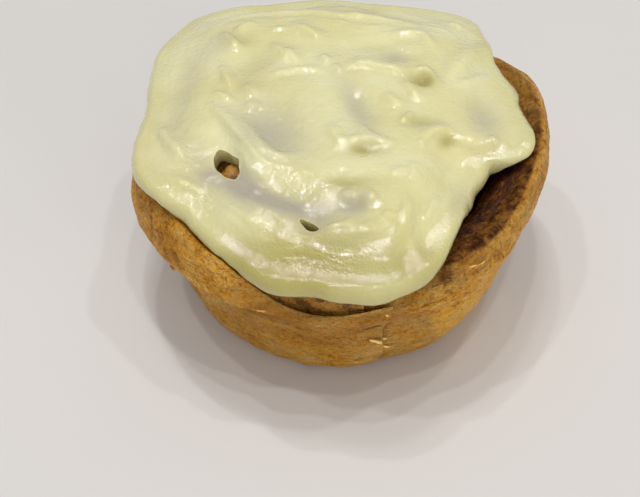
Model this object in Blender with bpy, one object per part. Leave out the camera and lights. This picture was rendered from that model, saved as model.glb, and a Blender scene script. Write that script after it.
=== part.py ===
"""Iced cinnamon roll, baked in a cup-shaped tin: one rolled-up strip of dough, the cinnamon
filling between its turns, and a thick spread of icing on top.

Metres, +Z up. The origin is the middle of the flat underside, on the axis of the tin.
Directions round the roll are angles from +X, anticlockwise seen from above.
The strip is followed by s, its number of turns from the loose outer end inwards.
"""

import math

import bmesh
import bpy
import numpy as np

MM = 0.001
FULL_TURN = 2 * math.pi

# Side wall: a cup that leans outwards and swells over the tin's edge, above a crease.
BASE_RADIUS = 33.5 * MM
CORNER_SPREAD = 5.0 * MM
CORNER_HEIGHT = 11.0 * MM
WALL_LEAN = 0.20
SWELL = (
    (-175, 4.8), (-150, 3.9), (-120, 2.8), (-90, 2.4), (-60, 2.4), (-35, 1.2), (-20, 1.0), (-8, 2.2),
    (6, 4.0), (22, 5.4), (50, 5.0), (90, 4.6), (140, 5.6),
)
SWELL_RISE = 8.0 * MM
CREASE_HEIGHT = 24.0 * MM
CREASE_DEPTH = 1.5 * MM
CREASE_FADE = 6.0 * MM
CREASE_SIDE = -150.0
CREASE_SPAN = 60.0
WALL_WAVES = ((2, 0.5 * MM, 40.0), (3, 0.4 * MM, 110.0), (5, 0.3 * MM, 15.0), (9, 0.16 * MM, 70.0))
WAVE_RISE = 18.0 * MM

# Rolled strip: where its loose end lies, and how the groove between turns runs inwards.
SEAM_SIDE = -77.0
ROLL_RADIUS = 32.5 * MM
ROLL_LEAN = 0.425
GROOVE_START = 0.85
GROOVE_STEP = 0.245
GROOVE_TURNS = 3.0
TAIL_LIFT = 0.126
TAIL_TURNS = 0.28
TAIL_THICKNESS = 0.7 * MM
TAIL_FOLLOW_TURNS = 0.15
TAIL_THIN_TURNS = 0.03
TAIL_PROUD = 0.3 * MM
TAIL_PROUD_TURNS = 0.05
UNDERLAP_TURNS = 0.07

# Top of the dough: a low dome of rounded turns with valleys between them.
DOME_HEIGHT = 45.0 * MM
DOME_DROP = 2.2 * MM
DOME_REACH = 45.0 * MM
CREST_BELOW_DOME = 0.5 * MM
CREST_SHARE = 0.50
VALLEY_DEPTH = 4.5 * MM
SHOULDER_HEIGHT = 31.5 * MM
OPEN_TURN = 0.847
OPEN_TURNS = 0.208
OPEN_SHIFT = 0.10
OPEN_CREST_SHIFT = 0.27
OPEN_STRAIGHTENING = 0.6
OPEN_SHOULDER_RISE = 5.5 * MM
RIM_TURN = 0.72
RIM_TURNS = 0.20
RIM_RISE = 2.2 * MM
OPEN_VALLEY_DROP = 8.0 * MM
TAIL_DROP = 9.0 * MM
TAIL_DROP_TURNS = 0.17
TAIL_SHOULDER_SHARE = 0.2
FRONT_DIP = 3.6 * MM
FRONT_DIP_TURNS = 0.20

# Cinnamon filling: a spiral layer, spread up the open slope and over the turn behind the loose end.
FILLING_THICKNESS = 1.0 * MM
GAP = 0.35 * MM
FILLING_SOLE = 0.8 * MM
OPEN_SMEAR = 0.75
TAIL_SMEAR = 0.50
LEAST_SMEAR = 0.10
TAIL_SMEAR_TURNS = 0.16
SMEAR_ROOM = 0.9
FILLING_START = 0.018
FILLING_END = GROOVE_TURNS - 0.02

# Icing: how far it reaches in each direction (degrees, millimetres), and how thick it lies.
ICING_REACH = (
    (-178, 46.8), (-165, 46.2), (-150, 42.2), (-135, 42.0), (-118, 43.6), (-100, 43.6), (-82, 44.4),
    (-66, 45.0), (-52, 40.5), (-38, 34.0), (-26, 31.5), (-16, 33.5), (-9, 40.0), (-2, 43.5), (6, 42.5),
    (16, 40.8), (28, 41.5), (40, 46.0), (52, 49.0), (70, 47.5), (90, 46.8), (112, 49.5), (132, 53.0),
    (150, 50.0), (166, 47.2),
)
ICING_CLEARANCE = 0.5 * MM
ICING_OVERHANG = 1.2 * MM
ICING_LEAST = 2.4 * MM
LEVEL_REACH = 10.0 * MM
EDGE_FALL_REACH = 14.0 * MM
MOST_EDGE_FALL = 5.0 * MM
BRIDGE_START = 1.0 * MM
BRIDGE_REACH = 2.5 * MM
ICING_THICKNESS = 6.2 * MM
ICING_EDGE_THICKNESS = 5.0 * MM
ICING_BULGE = 2.6 * MM
EDGE_SLOPE_REACH = 12.0 * MM

# Dips over the spiral's grooves and spoon ridges: x, y, length, width, direction, height.
ICING_DIPS = (
    (-14, -25, 30, 8, -28, -2.2), (-15, 1, 16, 10, 110, -1.6), (5, 9, 14, 7, -60, -1.5),
    (14, 24, 10, 8, 0, -1.2), (33, 1, 13, 9, 95, -1.6), (-38, 8, 26, 7, 80, -0.8),
)
ICING_RIDGES = (
    (-22, 5, 34, 4.5, -48, 1.2), (-9, -8, 20, 4.0, -25, 1.0), (4, -36, 34, 6, 8, 1.0),
    (20, -24, 26, 5, 62, 1.0), (-2, 20, 32, 5, 12, 1.0), (24, 12, 22, 5, -40, 0.9),
)
# Breaks through the icing over the groove: x, y, long radius, short radius, direction.
ICING_HOLES = ((-25.0, -15.5, 4.6, 2.4, -65.0), (-6.4, -33.5, 2.0, 1.3, -35.0))
HOLE_HEIGHT = 30.0 * MM

# Colours and roughness.
CRUST = (0.55, 0.28, 0.09)
CRUST_ROUGHNESS = 0.6
CINNAMON = (0.10, 0.035, 0.015)
CINNAMON_ROUGHNESS = 0.35
CREAM = (0.87, 0.80, 0.48)
CREAM_ROUGHNESS = 0.25

# Fineness of the solids.
ARC_STEP = 5.0 * MM
LEAST_STEPS_A_TURN = 22
WALL_LEVELS = np.array([0.0, 0.8, 2.8, 6.0, 11.0, 17.0, 23.0, 25.5]) * MM
TOP_ROWS = 8
SMEAR_ROWS = 3
ICING_SECTORS = 76
ICING_RINGS = 13
ICING_UNDER_SHARES = (0.3, 0.6, 0.85)
ICING_UNDER_INSETS = np.array([10.5, 8.6, 6.9, 5.4, 4.0, 2.7, 1.4, 0.0]) * MM
ICING_EDGE_ROWS = 4
HOLE_SIDES = 14
OFFSET_TURNS = np.radians([-60.0, -30.0, 0.0, 30.0, 60.0])
WELD = 0.02 * MM
SHARP_EDGE = math.radians(60.0)
SMALL_STEP = 0.01


def ease(x):
    """Smooth step from 0 to 1 as x goes from 0 to 1."""
    x = np.clip(x, 0, 1)
    return x * x * (3 - 2 * x)


def facing(angle, side, span):
    """1 in the direction side, falling smoothly to 0 at span degrees from it."""
    off = np.abs((angle - math.radians(side) + math.pi) % FULL_TURN - math.pi)
    return ease(1 - off / math.radians(span))


def through(points, angle):
    """Smooth closed curve through (degrees, millimetres) points, read at the given angles."""
    sides, reach = np.radians([p[0] for p in points]), np.array([p[1] for p in points]) * MM
    count = len(points)
    angle = (np.asarray(angle) - sides[0]) % FULL_TURN + sides[0]
    here = np.searchsorted(sides, angle, side="right") - 1
    ends = np.append(sides, sides[0] + FULL_TURN)
    x = (angle - ends[here]) / (ends[here + 1] - ends[here])
    around = [reach[(here + k) % count] for k in (-1, 0, 1, 2)]
    return 0.5 * (2 * around[1] + (around[2] - around[0]) * x
                  + (2 * around[0] - 5 * around[1] + 4 * around[2] - around[3]) * x ** 2
                  + (3 * around[1] - around[0] - 3 * around[2] + around[3]) * x ** 3)


def angle_of(s):
    return math.radians(SEAM_SIDE) - FULL_TURN * s


def wall_radius(z, angle):
    """Radius of the tin-shaped outside at height z: rounded corner, lean, crease and swelling."""
    corner = CORNER_SPREAD * np.sqrt(1 - (1 - np.clip(z / CORNER_HEIGHT, 0, 1)) ** 2)
    swell = through(SWELL, angle) * ease((z - CREASE_HEIGHT) / SWELL_RISE)
    under = np.clip(CREASE_HEIGHT - z, 0, None)
    recess = CREASE_DEPTH * facing(angle, CREASE_SIDE, CREASE_SPAN) * ease((CREASE_HEIGHT + MM - z) / MM)
    waves = sum(size * np.cos(n * angle + math.radians(turn)) for n, size, turn in WALL_WAVES)
    return (BASE_RADIUS + corner + WALL_LEAN * z + swell
            - recess * np.exp(-under / CREASE_FADE) + waves * ease(z / WAVE_RISE))


def bump(s, middle, span):
    """1 at middle, falling smoothly to 0 at span turns from it."""
    return ease(1 - np.abs(s - middle) / span)


def openness(s):
    """1 where the outer turn leans open and shows its filled inside, 0 elsewhere."""
    return bump(s, OPEN_TURN, OPEN_TURNS)


def groove_share(s):
    """Where the groove s turns in lies, as a share of the roll's radius."""
    tail = TAIL_LIFT * (1 - ease(s / TAIL_TURNS))
    return GROOVE_START - GROOVE_STEP * s + tail + OPEN_SHIFT * openness(s)


def groove_radius(s, z):
    """Middle of the groove, which follows the wall closely where the loose end is thin."""
    straight = groove_share(s) * (ROLL_RADIUS + ROLL_LEAN * z)
    under_tail = wall_radius(z, angle_of(s)) - TAIL_THICKNESS - half_groove(0.0)
    return straight + (under_tail - straight) * (1 - ease(s / TAIL_FOLLOW_TURNS))


def half_groove(s):
    return GAP / 2 + (FILLING_THICKNESS + GAP) / 2 * ease(s / TAIL_THIN_TURNS)


def inner_face(s, z):
    return groove_radius(s, z) + half_groove(s)


def outer_face(s, z):
    """Outside of the strip: the wall on its first turn, tucked in where the loose end overlaps it."""
    wall = wall_radius(z, angle_of(s)) + TAIL_PROUD * np.exp(-s / TAIL_PROUD_TURNS)
    within = np.maximum(s - 1, 0)
    behind = groove_radius(within, z) - half_groove(within)
    tucked = ease((s - 1 + UNDERLAP_TURNS) / UNDERLAP_TURNS)
    return np.where(s < 1, wall + (behind - wall) * tucked, behind)


def dome(r):
    return DOME_HEIGHT - DOME_DROP * (r / DOME_REACH) ** 2


def tail_drop(s):
    """How much lower the strip's top lies near its loose end."""
    return TAIL_DROP * (1 - ease(s / TAIL_DROP_TURNS))


def valley_height(s):
    """Height at which the groove s turns in opens between the rounded turns."""
    steady = dome(groove_radius(s, DOME_HEIGHT)) - VALLEY_DEPTH
    return steady - OPEN_VALLEY_DROP * openness(s) - tail_drop(s)


def shoulder_height(s):
    """Height at which the strip's outside starts to round over into its top."""
    first = SHOULDER_HEIGHT + OPEN_SHOULDER_RISE * openness(s) - TAIL_SHOULDER_SHARE * tail_drop(s)
    behind = valley_height(np.maximum(s - 1, 0))
    tucked = ease((s - 1 + UNDERLAP_TURNS) / UNDERLAP_TURNS)
    return np.where(s < 1, first + (behind - first) * tucked, behind)


def crest(s):
    """Radius and height of the strip's crest, which lies further out where the turn is open."""
    out = outer_face(s, shoulder_height(s))
    across = CREST_SHARE - OPEN_CREST_SHIFT * openness(s)
    r = out + (inner_face(s, valley_height(s)) - out) * across
    rise = RIM_RISE * bump(s, RIM_TURN, RIM_TURNS) - FRONT_DIP * bump(s, 1.0, FRONT_DIP_TURNS)
    return r, dome(r) - CREST_BELOW_DOME + rise - tail_drop(s)


def foot(s, outer):
    """Foot of the top's outer or inner half: radius, height, and the power that straightens it."""
    z = np.where(outer, shoulder_height(s), valley_height(s))
    r = np.where(outer, outer_face(s, z), inner_face(s, z))
    return r, z, 1 + OPEN_STRAIGHTENING * np.where(outer, 0, openness(s))


def top_curve(s, w):
    """Point (r, z) on the strip's top, from its outside at w = 0 to its inside at w = 1: a
    quarter ellipse up to the crest and another down."""
    crest_r, crest_z = crest(s)
    foot_r, foot_z, power = foot(s, w < 0.5)
    turn = math.pi * np.where(w < 0.5, w, 1 - w)
    rise = np.abs(np.sin(turn)) ** power
    across = 1 - np.abs(np.cos(turn)) ** power
    return foot_r + (crest_r - foot_r) * across, foot_z + (crest_z - foot_z) * rise


def top_height(s, r, limits=(1.0, 1.0)):
    """Height of the strip's top at radius r, cut off at a share of each half's rise."""
    crest_r, crest_z = crest(s)
    outer = r > crest_r
    foot_r, foot_z, power = foot(s, outer)
    across = np.clip((r - foot_r) / (crest_r - foot_r), 0, 1)
    rise = (1 - (1 - across) ** (2 / power)) ** (power / 2)
    return foot_z + (crest_z - foot_z) * np.minimum(rise, np.where(outer, *limits))


def polar(r, angle, z):
    """Cartesian points from cylindrical ones."""
    r, angle, z = np.broadcast_arrays(r, angle, z)
    return np.stack([r * np.cos(angle), r * np.sin(angle), z], axis=-1)


def stations():
    """Values of s along the groove, a steady step of arc apart."""
    found = [0.0]
    while found[-1] < GROOVE_TURNS:
        radius = groove_radius(max(found[-1] - 0.5, 0.0), DOME_HEIGHT)
        found.append(found[-1] + min(ARC_STEP / (FULL_TURN * radius), 1 / LEAST_STEPS_A_TURN))
    return np.array(found) * (GROOVE_TURNS / found[-1])


def levels(s, last, low, top):
    """Heights up a face: all the wall's levels as far as station last, then only both ends."""
    return [low, *WALL_LEVELS[1:], top] if s < last else [low, top]


def strip_section(s):
    """The strip's outline at station s, as rows of a name, r and z: outside, top, inside."""
    rows = []
    shoulder, valley = shoulder_height(s), valley_height(s)
    outside = levels(s, 1 + TAIL_FOLLOW_TURNS, 0.0, shoulder)
    for z in outside:
        rows.append((("outside", z if z < shoulder else "top"), outer_face(s, z), z))
    for i in range(1, TOP_ROWS):
        rows.append((("top", i), *top_curve(s, i / TOP_ROWS)))
    for z in reversed(levels(s, TAIL_FOLLOW_TURNS, 0.0, valley)):
        rows.append((("inside", z if z < valley else "top"), inner_face(s, z), z))
    return rows


def swept(sections, angles):
    """Points, faces and rings of closed sections carried round the axis. Rows that both of two
    neighbours have are joined; between those, one face takes in all the rows of either."""
    points, faces, rings = [], [], []
    for section, angle in zip(sections, angles):
        rings.append({})
        for name, r, z in section:
            rings[-1][name] = len(points)
            points.append(polar(float(r), angle, float(z)))
    for before, after in zip(rings, rings[1:]):
        shared = [name for name in before if name in after]
        for name, following in zip(shared, shared[1:] + shared[:1]):
            faces.append(run(before, name, following) + run(after, name, following)[::-1])
    return points, faces, rings


def run(ring, name, following):
    """The ring's points from one name to another, both included."""
    names = list(ring)
    first, last = names.index(name), names.index(following)
    steps = (last - first) % len(names)
    return [ring[names[(first + i) % len(names)]] for i in range(steps + 1)]


def solid(name, points, faces, colour, roughness):
    """An object whose mesh is welded, with its faces turned outwards, in its own plain material."""
    shape = bmesh.new()
    corners = [shape.verts.new(p) for p in points]
    for face in faces:
        shape.faces.new([corners[i] for i in face])
    bmesh.ops.remove_doubles(shape, verts=shape.verts, dist=WELD)
    bmesh.ops.dissolve_degenerate(shape, edges=shape.edges, dist=WELD / 10)
    bmesh.ops.recalc_face_normals(shape, faces=shape.faces)
    mesh = bpy.data.meshes.new(name)
    shape.to_mesh(mesh)
    shape.free()
    mesh.shade_smooth()
    mesh.set_sharp_from_angle(angle=SHARP_EDGE)
    material = bpy.data.materials.new(name)
    material.use_nodes = True
    surface = material.node_tree.nodes["Principled BSDF"]
    surface.inputs["Base Color"].default_value = (*colour, 1)
    surface.inputs["Roughness"].default_value = roughness
    mesh.materials.append(material)
    made = bpy.data.objects.new(name, mesh)
    bpy.context.scene.collection.objects.link(made)
    return made


def core_faces(points, rim, middle, faces):
    """Closes the core: the loop of rim points is joined to a half-size copy and to its middle."""
    first = len(points)
    points.extend([(np.array(points[i]) + middle) / 2 for i in rim])
    centre = len(points)
    points.append(middle)
    for i in range(len(rim)):
        j = (i + 1) % len(rim)
        faces.append([rim[i], rim[j], first + j, first + i])
        faces.append([first + i, first + j, centre])


def dough():
    """The rolled strip: a section swept along the spiral, then the core inside the last groove."""
    line = stations()
    points, faces, rings = swept([strip_section(s) for s in line], angle_of(line))
    faces.append(list(rings[0].values()))

    columns = []
    for s in np.linspace(GROOVE_TURNS, GROOVE_TURNS + 1, LEAST_STEPS_A_TURN + 1):
        heights = np.array([0.0, shoulder_height(s)])
        columns.append([len(points), len(points) + 1])
        points.extend(polar(outer_face(s, heights), angle_of(s), heights))
    for before, after in zip(columns, columns[1:]):
        faces.append([before[0], after[0], after[1], before[1]])

    last = rings[-1]
    faces.append(columns[-1] + [last["inside", "top"], last["inside", 0.0]])
    over = run(last, ("top", 1), ("inside", "top"))[::-1]
    edge = np.mean([points[column[1]] for column in columns], axis=0)
    core_faces(points, [column[1] for column in columns] + over,
               np.array([edge[0], edge[1], dome(0.0) - CREST_BELOW_DOME]), faces)
    core_faces(points, [column[0] for column in columns] + [last["inside", 0.0]],
               np.array([edge[0], edge[1], 0.0]), faces)
    return solid("dough", points, faces, CRUST, CRUST_ROUGHNESS)


def slope_share(s):
    """How far the filling is smeared up the inside of the outer turn, as a share of its rise."""
    return LEAST_SMEAR + (OPEN_SMEAR - LEAST_SMEAR) * openness(s)


def behind_share(s):
    """How far it is smeared over the shoulder of the turn inside the groove."""
    return LEAST_SMEAR + (TAIL_SMEAR - LEAST_SMEAR) * (1 - ease(s / TAIL_SMEAR_TURNS))


def off_top(s, w, lift):
    """A point lifted off the strip's top, at right angles to its curve."""
    r0, z0 = top_curve(s, max(w - SMALL_STEP, 0.0))
    r1, z1 = top_curve(s, min(w + SMALL_STEP, 1.0))
    length = math.hypot(r1 - r0, z1 - z0)
    r, z = top_curve(s, w)
    return r + (z1 - z0) / length * lift, z + (r0 - r1) / length * lift


def smear_lift(s, strip, w):
    """Height of the filling's face over the dough, thinner where the groove is too narrow for it."""
    room = abs(top_curve(strip, w)[0] - groove_radius(s, valley_height(s))) - GAP
    return GAP + min(FILLING_THICKNESS, SMEAR_ROOM * room)


def filling_section(s):
    """The filling's outline at station s: up the groove, out over the open slope, back, and over
    the shoulder of the turn inside it."""
    rows = []
    slope = 1 - 0.5 * slope_share(s) * np.linspace(0, 1, SMEAR_ROWS + 1)
    shoulder = 0.5 * behind_share(s) * np.linspace(0, 1, SMEAR_ROWS + 1)
    heights = levels(s, TAIL_FOLLOW_TURNS, FILLING_SOLE, valley_height(s))[:-1]
    for z in heights:
        rows.append((("outer", z), inner_face(s, z) - GAP, z))
    for i, w in enumerate(slope):
        rows.append((("slope", i), *off_top(s, w, GAP)))
    for i, w in reversed(list(enumerate(slope))[1:]):
        rows.append((("slope face", i), *off_top(s, w, smear_lift(s, s, w))))
    for i, w in list(enumerate(shoulder))[1:]:
        rows.append((("shoulder face", i), *off_top(s + 1, w, smear_lift(s, s + 1, w))))
    for i, w in reversed(list(enumerate(shoulder))):
        rows.append((("shoulder", i), *off_top(s + 1, w, GAP)))
    for z in reversed(heights):
        rows.append((("inner", z), outer_face(s + 1, z) + GAP, z))
    return rows


def filling():
    """The cinnamon layer, from just inside the loose end to the core."""
    line = stations()
    line = np.array([FILLING_START, *line[(line > FILLING_START) & (line < FILLING_END)], FILLING_END])
    points, faces, rings = swept([filling_section(s) for s in line], angle_of(line))
    faces += [list(rings[0].values()), list(rings[-1].values())]
    return solid("filling", points, faces, CINNAMON, CINNAMON_ROUGHNESS)


def dilated(s, r, limits, lift):
    """Height of a surface that keeps a distance, lift, from the strip's top."""
    found = [top_height(s, r + lift * math.sin(k), limits) + lift * math.cos(k) for k in OFFSET_TURNS]
    return np.max(found, axis=0)


def rest_height(r, angle, reach):
    """Height of the icing's underside: over the rounded turns and the smears of filling on them,
    and straight across the valleys, but not across the outer one where the icing ends short."""
    first = ((math.radians(SEAM_SIDE) - angle) / FULL_TURN) % 1.0
    held = np.minimum(r, outer_face(first, shoulder_height(first)) - ICING_OVERHANG)
    over_filling = GAP + FILLING_THICKNESS + ICING_CLEARANCE
    rise = math.pi / 2
    found = np.zeros_like(held)
    for s, limits in (
        (first, (0.0, np.sin(rise * slope_share(first)))),
        (first + 1, (np.sin(rise * behind_share(first)), math.sin(rise * LEAST_SMEAR))),
    ):
        found = np.maximum(found, dilated(s, held, (1.0, 1.0), ICING_CLEARANCE))
        found = np.maximum(found, dilated(s, held, limits, over_filling))
    for s, bridge in (
        (first, ease((reach - BRIDGE_START - groove_radius(first, valley_height(first))) / BRIDGE_REACH)),
        (first + 1, 1.0),
    ):
        crest_r, crest_z = crest(s)
        own = crest_z - dome(crest_r) + CREST_BELOW_DOME
        level = icing_level(held) + own * (1 - ease((crest_r - held) / LEVEL_REACH))
        found += np.where(held < crest_r, np.maximum(level - found, 0) * bridge, 0)
    return found


def icing_level(r):
    """Height that the icing's underside has where the turns under it are full."""
    return dome(r) - CREST_BELOW_DOME + ICING_CLEARANCE


def streaks(x, y, marks):
    """Sum of long soft-edged marks, each x, y, length, width, direction and height."""
    total = np.zeros_like(x)
    for mx, my, length, width, side, height in marks:
        c, s = math.cos(math.radians(side)), math.sin(math.radians(side))
        along = ((x - mx * MM) * c + (y - my * MM) * s) / (length * MM / 2)
        across = ((y - my * MM) * c - (x - mx * MM) * s) / (width * MM / 2)
        total += height * MM * np.exp(-along ** 2 - across ** 2)
    return total


def icing_depth(x, y, r, reach):
    """Thickness of the icing, thinner towards its edge, with its dips and ridges."""
    edge = ease((reach - r) / EDGE_SLOPE_REACH)
    body = ICING_EDGE_THICKNESS + (ICING_THICKNESS - ICING_EDGE_THICKNESS) * edge
    return body + (streaks(x, y, ICING_DIPS) + streaks(x, y, ICING_RIDGES)) * edge


def hole_cutter(number, x, y, long_radius, short_radius, side):
    """An upright oval column that breaks through the icing."""
    shape = bmesh.new()
    bmesh.ops.create_cone(shape, cap_ends=True, segments=HOLE_SIDES, radius1=1, radius2=1,
                          depth=HOLE_HEIGHT)
    bmesh.ops.scale(shape, vec=(long_radius * MM, short_radius * MM, 1), verts=shape.verts)
    mesh = bpy.data.meshes.new(f"icing_hole_{number}")
    shape.to_mesh(mesh)
    shape.free()
    cutter = bpy.data.objects.new(mesh.name, mesh)
    cutter.location = (x * MM, y * MM, DOME_HEIGHT)
    cutter.rotation_euler.z = math.radians(side)
    cutter.hide_render = True
    cutter.display_type = "WIRE"
    bpy.context.scene.collection.objects.link(cutter)
    return cutter


def icing_top(r, angle, reach):
    """Height of the icing's top: even over the roll, then down to where its edge lies."""
    fall = np.minimum(icing_level(reach) - rest_height(reach, angle, reach), MOST_EDGE_FALL)
    even = icing_level(r) - fall * (1 - ease((reach - r) / EDGE_FALL_REACH))
    depth = icing_depth(r * np.cos(angle), r * np.sin(angle), r, reach)
    return np.maximum(even + depth, rest_height(r, angle, reach) + ICING_LEAST)


def icing():
    """The icing: rings of points under it, round its bulging edge and over its top."""
    angle = np.arange(ICING_SECTORS) * FULL_TURN / ICING_SECTORS
    reach = through(ICING_REACH, angle)
    rows = []
    inner = reach - ICING_UNDER_INSETS[0]
    for r in [inner * k for k in ICING_UNDER_SHARES] + [reach - k for k in ICING_UNDER_INSETS]:
        rows.append(polar(r, angle, rest_height(r, angle, reach)))
    low, high = rest_height(reach, angle, reach), icing_top(reach, angle, reach)
    for turn in np.linspace(-math.pi / 2, math.pi / 2, ICING_EDGE_ROWS + 1)[1:-1]:
        r = reach + ICING_BULGE * math.cos(turn)
        z = low + (high - low) * (1 + math.sin(turn)) / 2
        rows.append(polar(r, angle, np.maximum(z, rest_height(r, angle, reach))))
    for share in np.linspace(1, 0, ICING_RINGS + 1)[:-1]:
        rows.append(polar(reach * share, angle, icing_top(reach * share, angle, reach)))
    points = np.concatenate(rows)
    index = np.arange(len(points)).reshape(len(rows), ICING_SECTORS)
    ahead = np.roll(index, -1, axis=1)
    faces = np.stack([index[:-1], ahead[:-1], ahead[1:], index[1:]], axis=-1).reshape(-1, 4).tolist()
    middle = (np.zeros(1), np.zeros(1), reach[:1])
    points = list(points) + [(0, 0, rest_height(*middle)[0]), (0, 0, icing_top(*middle)[0])]
    faces += [[a, b, len(points) - 2] for a, b in zip(index[0].tolist(), ahead[0].tolist())]
    faces += [[a, b, len(points) - 1] for a, b in zip(index[-1].tolist(), ahead[-1].tolist())]
    spread = solid("icing", points, faces, CREAM, CREAM_ROUGHNESS)
    for number, hole in enumerate(ICING_HOLES, start=1):
        cut = spread.modifiers.new(f"hole_{number}", "BOOLEAN")
        cut.operation = "DIFFERENCE"
        cut.object = hole_cutter(number, *hole)
    return spread


def main():
    for old in list(bpy.data.objects):
        bpy.data.objects.remove(old)
    dough()
    filling()
    icing()


main()
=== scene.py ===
"""Iced cinnamon roll: crust, sticky filling, spooned icing and loose flakes of crust.

Metres, +Z up, the origin in the middle of the flat underside. Directions round the roll are
angles from +X, anticlockwise seen from above. The rolled strip is followed by s, its number of
turns from the loose outer end inwards.
"""

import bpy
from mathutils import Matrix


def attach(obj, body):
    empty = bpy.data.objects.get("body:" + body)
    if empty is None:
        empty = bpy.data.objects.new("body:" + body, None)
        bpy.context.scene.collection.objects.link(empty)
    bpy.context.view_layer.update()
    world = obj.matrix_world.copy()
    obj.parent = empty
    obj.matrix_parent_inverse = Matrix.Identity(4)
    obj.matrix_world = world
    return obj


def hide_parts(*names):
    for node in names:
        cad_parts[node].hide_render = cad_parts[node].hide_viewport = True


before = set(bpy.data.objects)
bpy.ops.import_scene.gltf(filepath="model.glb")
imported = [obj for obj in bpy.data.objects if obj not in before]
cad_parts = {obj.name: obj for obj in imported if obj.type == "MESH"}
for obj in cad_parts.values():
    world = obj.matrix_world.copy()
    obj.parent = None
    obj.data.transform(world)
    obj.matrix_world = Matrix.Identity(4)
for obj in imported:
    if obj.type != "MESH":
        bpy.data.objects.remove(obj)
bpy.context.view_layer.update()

import functools
import itertools
import math

import bmesh
import bpy
import numpy as np
from bpy.props import FloatProperty, FloatVectorProperty, IntProperty, PointerProperty

bl_info = {
    "name": "Iced Cinnamon Roll",
    "version": (1, 0, 0),
    "blender": (4, 5, 0),
    "location": "3D View > Sidebar > Cinnamon Roll",
    "description": "Builds a cup-baked cinnamon roll with crust, filling and spooned icing",
    "category": "Object",
}

MM = 0.001
FULL_TURN = 2 * math.pi
BODY = "root"

# Side wall: a cup that leans outwards and swells over the tin's edge, above a crease.
BASE_RADIUS = 33.5 * MM
CORNER_SPREAD = 5.0 * MM
CORNER_HEIGHT = 11.0 * MM
WALL_LEAN = 0.20
SWELL = (
    (-175, 4.8), (-150, 3.9), (-120, 2.8), (-90, 2.4), (-60, 2.4), (-35, 1.2), (-20, 1.0), (-8, 2.2),
    (6, 5.0), (22, 8.6), (35, 7.4), (50, 5.2), (90, 4.6), (140, 5.6),
)
SWELL_RISE = 8.0 * MM
CREASE_HEIGHT = 24.0 * MM
CREASE_DEPTH = 1.5 * MM
CREASE_FADE = 6.0 * MM
CREASE_SIDE = -150.0
CREASE_SPAN = 60.0
WALL_WAVES = ((2, 0.5 * MM, 40.0), (3, 0.4 * MM, 110.0), (5, 0.3 * MM, 15.0), (9, 0.16 * MM, 70.0))
WAVE_RISE = 18.0 * MM

# Rolled strip.
SEAM_SIDE = -77.0
ROLL_RADIUS = 32.5 * MM
ROLL_LEAN = 0.425
GROOVE_START = 0.85
GROOVE_STEP = 0.245
GROOVE_TURNS = 3.0
TAIL_LIFT = 0.126
TAIL_TURNS = 0.28
TAIL_THICKNESS = 0.7 * MM
TAIL_FOLLOW_TURNS = 0.15
TAIL_THIN_TURNS = 0.03
TAIL_PROUD = 0.3 * MM
TAIL_PROUD_TURNS = 0.05
FEATHER = 0.75 * MM
FEATHER_TURNS = 0.035
UNDERLAP_TURNS = 0.07
# The torn edge at the loose end: seed, length of a wave in millimetres, radians.
RAGGED_WAVES = ((21, 5.5, 0.024), (22, 2.2, 0.006))
RAGGED_TURNS = 0.02

# Top of the dough: a low dome of rounded turns with valleys between them.
DOME_HEIGHT = 45.0 * MM
DOME_DROP = 2.2 * MM
DOME_REACH = 45.0 * MM
STATION_HEIGHT = 0.7 * DOME_HEIGHT
CREST_BELOW_DOME = 0.5 * MM
CREST_SHARE = 0.50
VALLEY_DEPTH = 4.5 * MM
SHOULDER_HEIGHT = 31.5 * MM
OPEN_TURN = 0.847
OPEN_TURNS = 0.208
OPEN_SHIFT = 0.10
OPEN_CREST_SHIFT = 0.27
OPEN_STRAIGHTENING = 0.6
OPEN_SHOULDER_RISE = 5.5 * MM
RIM_TURN = 0.745
RIM_TURNS = 0.18
RIM_RISE = 5.8 * MM
OPEN_VALLEY_DROP = 8.0 * MM
TAIL_DROP = 6.6 * MM
LIP_DROP = 5.4 * MM
LIP_TURNS = 0.06
TAIL_DROP_TURNS = 0.08
TAIL_SHOULDER_SHARE = 0.2
FRONT_DIP = 3.6 * MM
FRONT_DIP_TURNS = 0.20

# Cinnamon filling.
FILLING_THICKNESS = 1.0 * MM
GAP = 0.35 * MM
FILLING_SOLE = 0.8 * MM
OPEN_SMEAR = 0.75
TAIL_SMEAR = 0.50
LEAST_SMEAR = 0.10
TAIL_SMEAR_TURNS = 0.16
SMEAR_ROOM = 0.9
FILL_RISE = 3.4 * MM
FILL_TURNS = 0.22
FILL_UNDER_BREAK = 1.197
FILL_BREAK_TURNS = 0.07
FILLING_START = 0.018
FILLING_END = GROOVE_TURNS - 0.02

# Icing: how far it reaches in each direction (degrees, millimetres), and how thick it lies.
ICING_REACH = (
    (-180, 43.9), (-170, 45.8), (-160, 45.9), (-150, 43.4), (-140, 41.3), (-130, 41.7), (-120, 43.0),
    (-110, 45.0), (-100, 44.4), (-90, 44.8), (-80, 46.5), (-70, 45.5), (-60, 41.6), (-50, 37.6),
    (-40, 34.4), (-30, 33.1), (-25, 33.4), (-21.5, 34.0), (-19.2, 34.8), (-17, 38.4), (-13.5, 41.6),
    (-9, 42.6), (-5, 42.4), (0, 41.4), (5, 40.6), (10, 40.1), (20, 40.7), (30, 41.6), (40, 45.9),
    (50, 51.6), (60, 49.6), (70, 46.1), (80, 43.8), (90, 45.3), (100, 47.2), (110, 48.1), (120, 51.6),
    (130, 55.1), (140, 53.5), (150, 50.9), (160, 47.2), (170, 43.8),
)
ICING_CLEARANCE = 0.5 * MM
ICING_OVERHANG = 1.2 * MM
ICING_LEAST = 1.68 * MM
LEVEL_REACH = 10.0 * MM
EDGE_FALL_REACH = 14.0 * MM
MOST_EDGE_FALL = 4.0 * MM
EDGE_FALL_SPREAD = 7.0
MOST_EDGE_DEPTH = 5.6 * MM
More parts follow.
